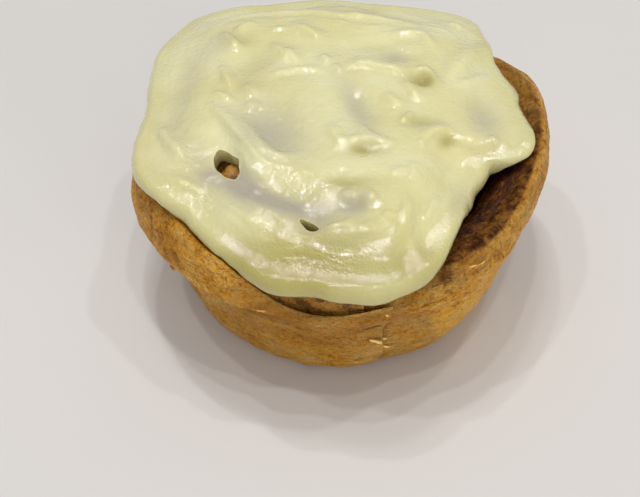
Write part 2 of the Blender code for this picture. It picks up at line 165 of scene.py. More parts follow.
UNDER_SLOPE = 2.0
EDGE_SPREAD = 1.2
EDGE_WAVES = ((61, 7, 0.35 * MM), (62, 18, 0.15 * MM))
EDGE_DETAIL = 0.25
DETAIL_REACH = 5.0 * MM
SAG_HEIGHT = 0.75 * DOME_HEIGHT
SAG_SLOPE = 0.75
SAG_SOFTNESS = 1.0 * MM
SAG_SHARE = 0.3
BACK_RISE = 2.0 * MM
BACK_SIDE = 100.0
BACK_SPAN = 100.0
BRIDGE_START = 1.0 * MM
BRIDGE_REACH = 2.5 * MM
ICING_THICKNESS = 6.2 * MM
ICING_EDGE_THICKNESS = 5.0 * MM
ICING_BULGE = 2.6 * MM
EDGE_SLOPE_REACH = 12.0 * MM
OFFSET_TURNS = np.radians([-60.0, -30.0, 0.0, 30.0, 60.0])
SMALL_STEP = 0.01

# Soft marks on the icing: x, y, length, width, direction, height.
ICING_DIPS = (
    (-14.5, -24, 30, 9, -28, -2.2), (-14.5, -6, 19, 13, 120, -1.5), (4.5, 3, 17, 7, -72, -1.3),
    (5.3, -13.2, 8, 4, 0, -0.9), (14, 21, 9, 7, 0, -1.2), (19.6, 11.8, 5, 4.5, 0, -1.4),
    (33, 1, 14, 9, 95, -1.3), (-37, 5, 34, 8, 82, -0.9), (-31, -15, 17, 7, -60, -0.9),
    (-25.3, -14, 13, 8, -65, -1.5), (-6.3, -32.6, 7, 5, 30, -2.0), (3, -29, 7, 5, 0, -1.2),
    (18.5, -36.8, 5, 4, 60, -0.9), (24, -8.6, 5, 3, 30, -0.8), (18, -3, 8, 4, 0, -0.6),
    (10, 25.5, 22, 4, 10, -0.5), (-20, 22, 14, 8, 60, -0.6), (26, 20, 20, 6, 60, -0.5),
)
# Thin places, where the dark groove shows greyly through the icing.
THIN_PLACES = (
    (-15.5, -6, 20, 14, 120, 0.75), (-15, -26.6, 25, 7, -27, 1.1), (-21.5, -20.5, 9, 6, -55, 0.7),
    (-2, -28.5, 14, 7, 8, 0.45), (4, 2, 21, 6, -70, 0.60), (13.5, 20.8, 7, 5.5, 0, 0.6),
    (33.3, 0, 15, 8, 95, 0.55), (-37, 8, 36, 7, 82, 0.40), (-31.5, -13.5, 16, 7, -60, 0.40),
    (3.4, -28.8, 7, 5, 0, 0.6), (-30, 26, 16, 7, 60, 0.30), (-28, -18.5, 8, 6, 0, 0.4),
    (9.5, 39, 30, 4, -8, 0.4), (26, -25, 12, 5, 60, 0.3),
)
# Deeper, darker yellow where the icing is thick or folded over itself, and painted shade on its front
# slope, which faces away from the overhead light, and in its hollows.
DEEP_AND_SHADED_PLACES = (
    (19.6, 11.6, 6, 5, 0, 1.0), (5.3, -12.6, 7, 3, 0, 1.0), (24, -8.4, 5, 3, 30, 0.8),
    (18, -3.4, 9, 5, 0, 0.6), (1.1, -23.4, 12, 4, 0, 0.7), (-8, -41.5, 46, 16, 0, 1.0),
    (-19.5, 17, 12, 8, 60, 0.35), (-24.5, 26.5, 8, 5, 0, 0.4), (14, -41, 12, 7, 20, 0.35),
    (-30, -24.5, 12, 6, -40, 0.30), (36.5, -9, 10, 5, 20, 0.35), (-22, 9, 12, 8, 0, 0.2),
)
# Spoon ridges: height, width to the left, width to the right, and the path (x, y), millimetres.
ICING_RIDGES = (
    (1.3, 2.2, 1.2, ((-32.8, 6.3), (-27.8, -0.4), (-23.9, -6.4), (-20.2, -11.8), (-18.0, -15.5),
                     (-14.2, -17.5), (-8.9, -18.1))),
    (0.9, 1.4, 1.3, ((-23.7, 1.1), (-22.2, -2.1), (-20.1, -6.5), (-17.8, -10.9), (-15.5, -13.6),
                     (-12.6, -14.9), (-9.5, -13.5), (-7.8, -11.1))),
    (0.5, 1.2, 1.0, ((-18.5, 11.7), (-15.5, 13.6), (-12.4, 14.4), (-9.3, 15.0), (-5.2, 14.4),
                     (-2.4, 11.9))),
    (1.1, 1.2, 1.4, ((-30.1, 31.4), (-27.0, 27.2), (-23.2, 22.2))),
    (0.8, 1.0, 1.2, ((-25.6, 29.3), (-24.6, 32.5), (-22.7, 33.9), (-19.9, 33.5))),
    (0.4, 0.8, 0.8, ((-18.0, 30.5), (-15.3, 31.7), (-12.5, 30.7))),
    (1.0, 1.6, 1.3, ((-13.1, 34.1), (-10.0, 31.5), (-6.7, 28.7), (-3.2, 25.1))),
    (0.7, 1.4, 1.4, ((-17.3, 26.9), (-14.6, 22.4), (-11.3, 17.6))),
    (0.6, 1.2, 1.2, ((-13.7, 24.2), (-11.1, 19.4), (-9.6, 16.0))),
    (0.8, 1.3, 1.3, ((-28.9, 19.7), (-27.4, 13.7), (-25.9, 9.5), (-23.9, 8.0))),
    (0.7, 1.6, 1.6, ((-23.3, 9.7), (-21.1, 7.7), (-19.3, 5.0))),
    (0.6, 1.4, 1.4, ((-21.8, 4.2), (-19.0, 0.6))),
    (0.6, 1.0, 1.1, ((-30.6, 8.0), (-27.3, 5.7), (-23.6, 3.3))),
    (1.0, 1.5, 1.3, ((-44.1, -0.2), (-41.2, -4.1), (-38.1, -9.0), (-33.9, -14.5))),
    (0.6, 1.1, 1.0, ((-40.6, -17.3), (-38.3, -18.8), (-35.1, -20.1), (-32.4, -20.7))),
    (0.7, 1.2, 1.0, ((-41.0, -19.4), (-37.2, -21.0), (-33.7, -21.3), (-31.0, -22.2), (-29.3, -21.6))),
    (-0.6, 1.6, 1.6, ((-42.8, 17.5), (-43.2, 9.9), (-43.6, 4.0), (-44.6, -3.3))),
    (-0.5, 1.3, 1.3, ((-40.2, 32.0), (-36.1, 36.6), (-30.0, 40.4), (-21.8, 42.6), (-13.1, 43.4),
                      (-2.6, 43.2))),
    (0.6, 1.4, 1.2, ((-37.6, 28.9), (-32.5, 34.3), (-25.6, 38.4), (-16.7, 40.3), (-7.7, 39.9),
                     (1.3, 37.5), (11.4, 36.2), (18.2, 34.0), (21.8, 28.2), (22.8, 23.8))),
    (0.35, 1.0, 1.0, ((-10.4, 42.8), (0.0, 41.2), (10.3, 40.0), (18.1, 39.6))),
    (-0.5, 1.3, 1.5, ((1.3, 42.4), (11.6, 39.4), (19.2, 37.4), (25.2, 32.3))),
    (0.7, 1.2, 1.2, ((11.9, 27.4), (13.9, 29.3), (17.0, 30.2), (20.2, 29.5), (22.4, 25.5),
                     (22.7, 22.2))),
    (0.9, 2.2, 0.8, ((0.2, 14.9), (2.9, 16.1), (6.2, 16.3), (9.8, 15.4), (13.6, 14.3), (17.0, 11.3))),
    (0.9, 1.1, 1.2, ((16.9, 14.2), (18.6, 15.4), (21.0, 15.0), (22.5, 11.6), (21.9, 8.5))),
    (0.9, 1.4, 1.4, ((14.4, 11.3), (16.4, 7.9), (18.7, 2.9))),
    (0.7, 1.3, 1.3, ((9.6, 6.6), (11.8, 3.9), (14.7, 0.7))),
    (0.6, 1.0, 1.2, ((13.8, -4.2), (15.1, -2.1), (17.2, 0.0))),
    (1.0, 2.6, 2.2, ((23.8, 10.3), (26.8, 15.1), (29.7, 19.0), (33.2, 24.6), (35.8, 31.8))),
    (0.5, 1.3, 1.6, ((26.3, 8.8), (29.6, 11.3), (32.9, 13.9), (36.2, 17.5))),
    (0.8, 1.6, 0.9, ((17.8, -11.6), (20.8, -7.2), (23.3, -5.5), (26.1, -4.2))),
    (0.5, 1.2, 1.0, ((19.6, -11.9), (22.6, -9.1), (25.4, -8.0))),
    (0.9, 1.6, 1.0, ((1.5, -13.5), (2.7, -11.1), (4.9, -10.0), (7.6, -10.3), (10.7, -10.6),
                     (12.7, -9.2))),
    (0.8, 1.5, 1.5, ((-3.0, -3.4), (-1.6, -7.2), (0.0, -10.9), (2.0, -13.8))),
    (0.5, 0.9, 1.2, ((4.8, -2.4), (5.9, -6.4), (7.8, -8.7), (10.3, -10.3))),
    (0.8, 1.2, 1.2, ((-5.6, 20.7), (-3.6, 18.5), (-2.4, 16.2))),
    (0.6, 1.0, 1.0, ((-2.2, 17.2), (-0.7, 15.1), (0.7, 12.8))),
    (0.9, 1.3, 1.0, ((-25.2, -9.2), (-22.6, -11.6), (-20.9, -15.0), (-20.6, -18.2), (-21.4, -21.2))),
    (1.0, 2.2, 1.6, ((-20.6, -15.9), (-19.1, -17.9), (-17.0, -19.8), (-14.6, -21.4))),
    (0.5, 1.0, 1.0, ((-28.9, -19.9), (-27.6, -18.8), (-25.6, -19.2))),
    (0.5, 0.8, 0.9, ((-20.1, -23.4), (-18.2, -23.3), (-16.0, -24.3))),
    (1.0, 2.4, 2.0, ((-29.1, -28.3), (-26.1, -30.3), (-22.4, -31.6), (-18.0, -32.7), (-13.7, -33.6))),
    (0.55, 0.9, 0.9, ((-33.3, -27.7), (-30.4, -30.9), (-27.7, -33.3), (-24.2, -35.3), (-20.3, -37.1))),
    (0.4, 0.8, 0.8, ((-29.3, -30.7), (-25.5, -33.3), (-21.2, -35.2), (-16.4, -36.9), (-11.5, -37.7))),
    (0.4, 0.8, 0.8, ((-29.9, -32.6), (-26.5, -35.7), (-22.1, -38.1), (-17.2, -39.7), (-11.9, -40.0))),
    (0.35, 0.8, 0.8, ((-24.5, -32.9), (-19.1, -34.9), (-12.6, -36.7), (-6.3, -37.2))),
    (-0.35, 0.9, 0.9, ((-31.1, -31.0), (-27.2, -34.8), (-21.9, -37.9), (-16.3, -40.6), (-10.4, -41.7))),
    (0.8, 1.0, 1.2, ((-5.5, -34.2), (-3.8, -34.8), (-1.5, -34.4), (1.0, -33.8), (2.5, -32.5),
                     (2.3, -30.5))),
    (0.8, 1.2, 1.1, ((-3.8, -37.3), (-1.3, -37.4), (0.8, -37.2), (3.3, -36.3), (6.3, -35.6),
                     (9.6, -35.7))),
    (0.9, 1.6, 1.6, ((4.2, -28.8), (5.9, -27.8), (8.3, -26.3))),
    (0.6, 1.2, 1.2, ((0.0, -25.1), (1.5, -26.8), (2.5, -28.2))),
    (0.6, 1.0, 1.0, ((9.1, -30.3), (9.9, -31.8), (11.3, -32.0), (12.6, -30.9))),
    (0.8, 1.1, 1.0, ((14.4, -24.5), (13.8, -28.8), (13.2, -32.7), (12.1, -35.8), (10.8, -39.4))),
    (0.6, 1.0, 1.0, ((15.6, -26.8), (15.0, -30.3), (14.1, -33.3), (13.0, -36.4))),
    (0.8, 1.2, 1.0, ((20.9, -23.2), (20.1, -26.1), (18.9, -29.8), (17.5, -33.1))),
    (0.7, 1.1, 1.0, ((25.1, -17.4), (23.8, -22.8), (22.8, -26.5), (21.3, -30.3))),
    (0.7, 1.0, 1.0, ((27.2, -16.2), (26.3, -19.6), (24.9, -25.7), (22.8, -30.9), (21.4, -34.7))),
    (0.7, 1.1, 1.2, ((30.0, -10.3), (28.9, -14.4), (28.0, -18.4), (25.9, -25.2))),
    (0.7, 1.1, 1.3, ((17.7, -34.2), (16.4, -36.4), (16.2, -38.4), (17.8, -39.7), (19.7, -38.6),
                     (21.1, -36.5))),
    (0.7, 1.8, 1.6, ((8.3, -40.7), (9.5, -42.0), (11.1, -42.8), (13.2, -42.9))),
    (0.5, 2.0, 2.0, ((-8.4, -40.1), (-2.1, -41.5), (3.8, -41.6), (9.4, -40.2), (13.6, -38.0))),
    (0.45, 0.9, 0.9, ((10.2, -20.5), (12.6, -19.8), (15.0, -18.8))),
    (0.5, 1.0, 1.0, ((15.6, -16.1), (15.9, -19.1), (15.5, -22.2))),
    (0.4, 0.9, 0.9, ((17.5, -9.1), (18.3, -10.8), (19.4, -12.0))),
    (0.5, 1.2, 1.2, ((33.2, -6.2), (34.2, -7.2), (36.6, -7.8))),
    (0.6, 0.9, 0.9, ((27.2, 38.1), (28.6, 36.9), (30.5, 35.7), (32.9, 36.4))),
    (0.5, 1.0, 1.0, ((32.7, 35.5), (34.0, 32.4), (35.9, 30.1))),
)
# Each ridge has a gentle and a steep side, and fades out over a share of its length at each end.
RIDGE_GENTLE = 1.5
RIDGE_STEEP = 0.95
RIDGE_FADE = 0.38
# Breaks through the icing over the groove: x, y, long radius, short radius, direction.
ICING_HOLES = ((-25.0, -15.5, 4.5, 2.35, -65.0), (-6.4, -33.5, 2.2, 0.95, -35.0))
HOLE_HEIGHT = 30.0 * MM
HOLE_SIDES = 40
HOLE_WAVER = 0.12
HOLE_FLARE = 0.25
HOLE_SLANT = 0.35
HOLE_TOP_HEIGHT = 49.0 * MM
# Crumbs of caramelised filling under the breaks: x, y, z, and three radii, millimetres.
CRUMBS = (
    (-23.4, -13.6, 42.6, 4.0, 3.2, 3.2), (-26.0, -8.6, 40.6, 3.4, 2.8, 2.8),
    (-6.0, -31.4, 40.4, 2.6, 1.8, 2.0),
)
CRUMB_SIDES = 36
CRUMB_ROWS = 21

# Cracks in the crust: depth, width above, width below, and the path (degrees, mm up).
CRUST_CRACKS = (
    (0.55, 0.5, 1.0, ((-79.0, 32.6), (-76.2, 31.7), (-72.3, 31.5), (-68.2, 31.9), (-64.3, 32.3),
                      (-60.6, 33.2), (-57.7, 34.4))),
    (0.50, 0.5, 0.6, ((-60.0, 38.6), (-60.6, 36.4), (-59.4, 34.4), (-57.2, 32.8))),
    (0.20, 0.6, 0.8, ((-80.4, 16.6), (-79.6, 13.0), (-78.0, 8.1), (-75.5, 3.6))),
    (0.40, 0.5, 0.9, ((-150.0, 27.5), (-140.0, 26.4), (-130.0, 26.6), (-121.0, 25.6), (-112.0, 24.6),
                      (-103.0, 25.4), (-96.0, 25.0))),
    (0.30, 0.5, 0.7, ((-124.0, 31.2), (-116.0, 30.0), (-108.0, 28.8), (-100.0, 28.6), (-92.0, 27.2))),
    (0.30, 0.4, 0.6, ((-110.0, 22.0), (-102.0, 21.2), (-94.0, 21.6), (-86.0, 20.4))),
    (0.35, 0.5, 0.6, ((-96.0, 15.5), (-90.0, 14.4), (-84.0, 14.8), (-80.0, 16.8))),
    (0.30, 0.4, 0.6, ((-70.0, 24.0), (-62.0, 25.6), (-54.0, 28.2), (-46.0, 32.0))),
    (0.25, 0.4, 0.5, ((-66.0, 17.0), (-58.0, 18.2), (-50.0, 21.6))),
    (0.40, 0.5, 0.8, ((20.0, 33.0), (32.0, 31.6), (46.0, 32.4), (58.0, 31.0))),
    (0.40, 0.5, 0.8, ((84.0, 30.4), (98.0, 31.8), (112.0, 30.6), (126.0, 32.0))),
    (0.35, 0.5, 0.8, ((150.0, 29.0), (162.0, 27.6), (176.0, 28.2), (190.0, 27.2))),
)
# Broken pits in the crust: degrees, mm up, radius, depth.
CRUST_PITS = (
    (-60.4, 38.2, 1.5, 1.1), (-63.6, 37.6, 0.9, 0.6),
    (-133.0, 34.5, 0.6, 0.6), (-127.5, 33.0, 0.5, 0.6), (-139.0, 37.0, 0.5, 0.5),
    (-121.0, 35.0, 0.5, 0.5), (-146.0, 36.0, 0.6, 0.5), (-152.0, 39.0, 0.5, 0.5),
    (8.0, 39.0, 0.8, 0.6), (52.0, 35.0, 0.8, 0.6), (97.0, 36.0, 0.9, 0.7), (151.0, 36.5, 0.8, 0.6),
)
CRACK_FADE = 0.25
# Distances along the crust are measured in millimetres on a cylinder of this radius.
WALL_ARC_RADIUS = 44.0
ARC_PER_DEGREE = WALL_ARC_RADIUS * math.pi / 180

# Loose flakes: degrees, mm up, mm across, mm tall, turn, how far its ends and sides curl, colour.
FLAKES = (
    (-76.6, 33.6, 3.0, 1.2, 58.0, 0.35, 0.3, 0.9), (-78.0, 18.4, 5.4, 1.1, -30.0, 0.35, 0.2, 0.6),
    (-74.8, 13.0, 3.0, 0.8, -24.0, 0.3, 0.2, 0.45), (-50.4, 38.4, 3.4, 0.5, 16.0, 0.4, 0.2, 0.8),
    (-52.8, 39.9, 2.2, 0.5, -18.0, 0.4, 0.2, 0.7), (-63.0, 36.8, 2.4, 1.1, 12.0, 0.2, 0.2, 0.6),
    (-84.0, 9.0, 2.4, 0.5, 10.0, 0.3, 0.2, 0.3), (-112.0, 31.0, 2.0, 0.5, 8.0, 0.2, 0.2, 0.4),
    (-96.0, 22.6, 2.4, 0.5, -6.0, 0.2, 0.2, 0.4), (-142.0, 30.0, 2.2, 0.6, 12.0, 0.2, 0.2, 0.4),
    (-40.0, 28.0, 2.2, 0.5, 22.0, 0.3, 0.2, 0.4), (14.0, 30.0, 2.6, 0.8, 6.0, 0.4, 0.3, 0.5),
    (63.0, 26.0, 3.0, 0.8, -8.0, 0.4, 0.3, 0.5), (108.0, 22.0, 2.4, 0.7, 10.0, 0.3, 0.3, 0.4),
    (139.0, 31.0, 2.8, 0.8, -12.0, 0.4, 0.3, 0.5), (172.0, 20.0, 2.2, 0.6, 5.0, 0.3, 0.2, 0.4),
)
FLAKE_THICKNESS = 0.16
FLAKE_SPANS = 26
FLAKE_SIDES = 16
FLAKE_LIFT = 0.04
FLAKE_TUCK = 2.2

# Clouds of noise in the materials: scale, detail, roughness and distortion.
CRUST_DRAWN = (1.0, 5.0, 0.7, 0.3)
CRUST_DRAWN_STRETCH = (190, 460, 1)
CRUST_FLAKED = (1.0, 4.0, 0.6, 1.0)
CRUST_FLAKED_STRETCH = (110, 330, 1)
CRUST_MOTTLED = (420.0, 6.0, 0.75, 0.4)
CRUST_CLOUDY = (140.0, 5.0, 0.62, 0.3)
CRUST_SPECKS = (1150.0, 4.0, 0.75)
CRUST_PORES = 780.0
FILLING_CLOUDY = (330.0, 5.0, 0.7)
FILLING_GRAINS = (1100.0, 3.0, 0.6)
ICING_BROAD = (70.0, 3.0, 0.5)
ICING_GRAIN = (850.0, 2.0, 0.55)
ICING_FINE = (2300.0, 2.0, 0.5)
FLAKE_CLOUDY = (420.0, 4.0, 0.6)
FLOOR_CLOUDY = (6.0, 2.0, 0.5)

# Fineness of the surfaces.
OUTER_STEP = 0.70 * MM
BESIDE_HOLE_STEP = 1.2 * MM
INNER_STEP = 3.0 * MM
BESIDE_HOLE_TURNS = 1.4
CORNER_ROWS = 14
WALL_ROWS = 58
TOP_ROWS = 52
INSIDE_ROWS = 8
SOLE_ROWS = 4
WALL, TOP, INSIDE, SOLE = range(4)
CORE_COLUMNS = 36
FILLING_SIDE_ROWS = 8
SMEAR_ROWS = 18
ICING_SECTORS = 420
ICING_RINGS = 124
ICING_EDGE_ROWS = 18
ICING_UNDER_ROWS = 22
ICING_UNDER_INSET = 10.5 * MM
ICING_UNDER_SHARES = (0.12, 0.3, 0.5, 0.7, 0.87)
CURVE_STEPS = 7
SHARP_EDGE = math.radians(50.0)
MOST_RELIEF = 3.0 * MM

# Camera, in metres, as the roll is looked at from its front; the frame is 640 by 497.
CAMERA_PLACE = (0.0, -0.18554, 0.20971)
CAMERA_LENS = 59.3
CAMERA_SENSOR = 36.0
CAMERA_SHIFT = (-20 / 640, 9.5 / 640)
FLOOR_REACH = 3.0

# Soft lights: name, place, size, share of the overhead power, and whether shiny parts mirror it.
LIGHTS = (
    ("overhead", (-0.05, 0.16, 0.95), 0.15, 0.3, False),
    ("overhead_shine", (-0.05, 0.16, 0.95), 0.06, 0.25, True),
    ("front_fill", (0.45, -0.95, 0.14), 0.9, 2.8, False),
    ("left_fill", (-0.85, -0.65, 0.16), 0.9, 0.5, False),
)
GLINT_PLACES = (
    (0.0, 0.02, 1.0), (-0.30, -0.02, 0.95), (0.30, 0.06, 0.95), (-0.12, 0.24, 0.97),
    (0.14, -0.16, 0.98),
)
GLINT_SIZE = 0.03


def tone(red, green, blue):
    """Linear colour of a screen colour with three channels from 0 to 255."""
    screen = np.array([red, green, blue]) / 255
    return tuple(float(c) for c in np.where(screen > 0.04045, ((screen + 0.055) / 1.055) ** 2.4,
                                            screen / 12.92))


def colour(name, description, *screen):
    return FloatVectorProperty(name=name, description=description, subtype="COLOR", size=3, min=0,
                               max=1, default=tone(*screen))


def depth(name, description, millimetres):
    return FloatProperty(name=name, description=description, subtype="DISTANCE", unit="LENGTH", min=0,
                         max=MOST_RELIEF, default=millimetres * MM)


# ---------------------------------------------------------------- shape of the roll

def ease(x):
    """Smooth step from 0 to 1 as x goes from 0 to 1."""
    x = np.clip(x, 0, 1)
    return x * x * (3 - 2 * x)


def facing(angle, side, span):
    """1 in the direction side, falling smoothly to 0 at span degrees from it."""
    off = np.abs((angle - math.radians(side) + math.pi) % FULL_TURN - math.pi)
    return ease(1 - off / math.radians(span))


def through(points, angle):
    """Smooth closed curve through (degrees, millimetres) points, read at the given angles."""
    sides, reach = np.radians([p[0] for p in points]), np.array([p[1] for p in points]) * MM
    count = len(points)
    angle = (np.asarray(angle) - sides[0]) % FULL_TURN + sides[0]
    here = np.searchsorted(sides, angle, side="right") - 1
    ends = np.append(sides, sides[0] + FULL_TURN)
    x = (angle - ends[here]) / (ends[here + 1] - ends[here])
    around = [reach[(here + k) % count] for k in (-1, 0, 1, 2)]
    return 0.5 * (2 * around[1] + (around[2] - around[0]) * x
                  + (2 * around[0] - 5 * around[1] + 4 * around[2] - around[3]) * x ** 2
                  + (3 * around[1] - around[0] - 3 * around[2] + around[3]) * x ** 3)


def angle_of(s):
    return math.radians(SEAM_SIDE) - FULL_TURN * s


def first_turn(angle):
    """Turns from the loose end at which the outer turn passes through a direction."""
    return ((math.radians(SEAM_SIDE) - angle) / FULL_TURN) % 1.0


def arc_of(s):
    """Millimetres along the crust from the loose end."""
    return s * FULL_TURN * WALL_ARC_RADIUS


def wall_radius(z, angle):
    """Radius of the tin-shaped outside at height z: rounded corner, lean, crease and swelling."""
    corner = CORNER_SPREAD * np.sqrt(1 - (1 - np.clip(z / CORNER_HEIGHT, 0, 1)) ** 2)
    swell = through(SWELL, angle) * ease((z - CREASE_HEIGHT) / SWELL_RISE)
    under = np.clip(CREASE_HEIGHT - z, 0, None)
    recess = CREASE_DEPTH * facing(angle, CREASE_SIDE, CREASE_SPAN) * ease((CREASE_HEIGHT + MM - z) / MM)
    waves = sum(size * np.cos(n * angle + math.radians(turn)) for n, size, turn in WALL_WAVES)
    return (BASE_RADIUS + corner + WALL_LEAN * z + swell
            - recess * np.exp(-under / CREASE_FADE) + waves * ease(z / WAVE_RISE))


def bump(s, middle, span):
    """1 at middle, falling smoothly to 0 at span turns from it."""
    return ease(1 - np.abs(s - middle) / span)


def openness(s):
    """1 where the outer turn leans open and shows its filled inside, 0 elsewhere."""
    return bump(s, OPEN_TURN, OPEN_TURNS)


def groove_share(s):
    """Where the groove s turns in lies, as a share of the roll's radius."""
    tail = TAIL_LIFT * (1 - ease(s / TAIL_TURNS))
    return GROOVE_START - GROOVE_STEP * s + tail + OPEN_SHIFT * openness(s)


def groove_radius(s, z):
    """Middle of the groove, which follows the wall closely where the loose end is thin."""
    straight = groove_share(s) * (ROLL_RADIUS + ROLL_LEAN * z)
    under_tail = wall_radius(z, angle_of(s)) - TAIL_THICKNESS - half_groove(0.0)
    return straight + (under_tail - straight) * (1 - ease(s / TAIL_FOLLOW_TURNS))


def half_groove(s):
    return GAP / 2 + (FILLING_THICKNESS + GAP) / 2 * ease(s / TAIL_THIN_TURNS)


def inner_face(s, z):
    return groove_radius(s, z) + half_groove(s)


def underlap(s):
    """0 to 1 where the strip's outside is tucked in under the loose end that overlaps it."""
    return ease((s - 1 + UNDERLAP_TURNS) / UNDERLAP_TURNS)


def outer_face(s, z):
    """Outside of the strip: the wall on its first turn, tucked in where the loose end overlaps it."""
    wall = wall_radius(z, angle_of(s)) + TAIL_PROUD * np.exp(-s / TAIL_PROUD_TURNS)
    within = np.maximum(s - 1, 0)
    behind = groove_radius(within, z) - half_groove(within)
    return np.where(s < 1, wall + (behind - wall) * underlap(s), behind)


def dome(r):
    return DOME_HEIGHT - DOME_DROP * (r / DOME_REACH) ** 2


def tail_drop(s):
    """How much lower the strip's top lies near its loose end."""
    return (TAIL_DROP + LIP_DROP * ease(s / LIP_TURNS)) * (1 - ease((s - LIP_TURNS) / TAIL_DROP_TURNS))


def valley_height(s):
    """Height at which the groove s turns in opens between the rounded turns."""
    steady = dome(groove_radius(s, DOME_HEIGHT)) - VALLEY_DEPTH
    return steady - OPEN_VALLEY_DROP * openness(s) - tail_drop(s)


def shoulder_height(s):
    """Height at which the strip's outside starts to round over into its top."""
    first = SHOULDER_HEIGHT + OPEN_SHOULDER_RISE * openness(s) - TAIL_SHOULDER_SHARE * tail_drop(s)
    behind = valley_height(np.maximum(s - 1, 0))
    return np.where(s < 1, first + (behind - first) * underlap(s), behind)


def crest(s):
    """Radius and height of the strip's crest, which lies further out where the turn is open."""
    out = outer_face(s, shoulder_height(s))
    across = CREST_SHARE - OPEN_CREST_SHIFT * openness(s)
    r = out + (inner_face(s, valley_height(s)) - out) * across
    rise = RIM_RISE * bump(s, RIM_TURN, RIM_TURNS) - FRONT_DIP * bump(s, 1.0, FRONT_DIP_TURNS)
    return r, dome(r) - CREST_BELOW_DOME + rise - tail_drop(s)


def foot(s, outer):
    """Foot of the top's outer or inner half: radius, height, and the power that straightens it."""
    z = np.where(outer, shoulder_height(s), valley_height(s))
    r = np.where(outer, outer_face(s, z), inner_face(s, z))
    return r, z, 1 + OPEN_STRAIGHTENING * np.where(outer, 0, openness(s))


def top_curve(s, w):
    """Point (r, z) on the strip's top, from its outside at w = 0 to its inside at w = 1: a
    quarter ellipse up to the crest and another down."""
    crest_r, crest_z = crest(s)
    foot_r, foot_z, power = foot(s, w < 0.5)
    turn = math.pi * np.where(w < 0.5, w, 1 - w)
    rise = np.abs(np.sin(turn)) ** power
    across = 1 - np.abs(np.cos(turn)) ** power
    return foot_r + (crest_r - foot_r) * across, foot_z + (crest_z - foot_z) * rise


def top_height(s, r, limits):
    """Height of the strip's top at radius r, cut off at a share of each half's rise."""
    crest_r, crest_z = crest(s)
    outer = r > crest_r
    foot_r, foot_z, power = foot(s, outer)
    across = np.clip((r - foot_r) / (crest_r - foot_r), 0, 1)
    rise = (1 - (1 - across) ** (2 / power)) ** (power / 2)
    return foot_z + (crest_z - foot_z) * np.minimum(rise, np.where(outer, *limits))


def polar(r, angle, z):
    """Cartesian points from cylindrical ones."""
    r, angle, z = np.broadcast_arrays(r, angle, z)
    return np.stack([r * np.cos(angle), r * np.sin(angle), z], axis=-1)


def slope_share(s):
    """How far the filling is smeared up the inside of the outer turn, as a share of its rise."""
    return LEAST_SMEAR + (OPEN_SMEAR - LEAST_SMEAR) * openness(s)


def behind_share(s):
    """How far it is smeared over the shoulder of the turn inside the groove."""
    return LEAST_SMEAR + (TAIL_SMEAR - LEAST_SMEAR) * (1 - ease(s / TAIL_SMEAR_TURNS))


def off_top(s, w, lift):
    """Points lifted off the strip's top, at right angles to its curve."""
    r0, z0 = top_curve(s, np.maximum(w - SMALL_STEP, 0.0))
    r1, z1 = top_curve(s, np.minimum(w + SMALL_STEP, 1.0))
    length = np.hypot(r1 - r0, z1 - z0)
    r, z = top_curve(s, w)
    return r + (z1 - z0) / length * lift, z + (r0 - r1) / length * lift


def smear_lift(s, strip, w):
    """Height of the filling's face over the dough, thinner where the groove is too narrow for it."""
    room = np.abs(top_curve(strip, w)[0] - groove_radius(s, valley_height(s))) - GAP
    return GAP + np.minimum(FILLING_THICKNESS, SMEAR_ROOM * room)


def dilated(s, r, limits, lift):
    """Height of a surface that keeps a distance, lift, from the strip's top."""
    found = [top_height(s, r + lift * math.sin(k), limits) + lift * math.cos(k) for k in OFFSET_TURNS]
    return np.max(found, axis=0)


def rest_height(r, angle, reach):
    """Height of the icing's underside: over the rounded turns and the smears of filling on them,
    and straight across the valleys, but not across the outer one where the icing ends short."""
    first = first_turn(angle)
    held = np.minimum(r, outer_face(first, shoulder_height(first)) - ICING_OVERHANG)
    over_filling = GAP + FILLING_THICKNESS + ICING_CLEARANCE
    rise = math.pi / 2
    found = np.zeros_like(held)
    for s, limits in (
        (first, (0.0, np.sin(rise * slope_share(first)))),
        (first + 1, (np.sin(rise * behind_share(first)), math.sin(rise * LEAST_SMEAR))),
    ):
        found = np.maximum(found, dilated(s, held, (1.0, 1.0), ICING_CLEARANCE))
        found = np.maximum(found, dilated(s, held, limits, over_filling))
    for s, bridge in (
        (first, ease((reach - BRIDGE_START - groove_radius(first, valley_height(first))) / BRIDGE_REACH)),
        (first + 1, 1.0),
    ):
        crest_r, crest_z = crest(s)
        own = crest_z - dome(crest_r) + CREST_BELOW_DOME
        level = icing_level(held) + own * (1 - ease((crest_r - held) / LEVEL_REACH))
        found += np.where(held < crest_r, np.maximum(level - found, 0) * bridge, 0)
    return found


def icing_level(r):
    """Height that the icing's underside has where the turns under it are full."""
    return dome(r) - CREST_BELOW_DOME + ICING_CLEARANCE


# ---------------------------------------------------------------- random waves and drawn marks

def scattered(seed, cells):
    """Random numbers from -1 to 1 at whole-number points, the same ones for the same seed."""
    mixed = np.full(cells[0].shape, (seed * 7919 + 17) % 2 ** 32, dtype=np.uint32)
    for cell in cells:
        mixed = (mixed ^ cell.astype(np.int64).astype(np.uint32)) * np.uint32(0x9E3779B1)
        mixed = (mixed ^ (mixed >> np.uint32(15))) * np.uint32(0x85EBCA6B)
        mixed ^= mixed >> np.uint32(13)
    return mixed / 2.0 ** 31 - 1


def noise(seed, *places):
    """Smooth random waves from -1 to 1: one random height at each whole-number point, with eased
    slopes between them."""
    places = np.broadcast_arrays(*places)
    cells = [np.floor(p) for p in places]
    parts = [ease(p - c) for p, c in zip(places, cells)]
    total = np.zeros(places[0].shape)
    for corner in itertools.product((0, 1), repeat=len(places)):
        weight = np.ones(places[0].shape)
        for k, part in zip(corner, parts):
            weight = weight * (part if k else 1 - part)
        total += weight * scattered(seed, [c + k for c, k in zip(cells, corner)])
    return total


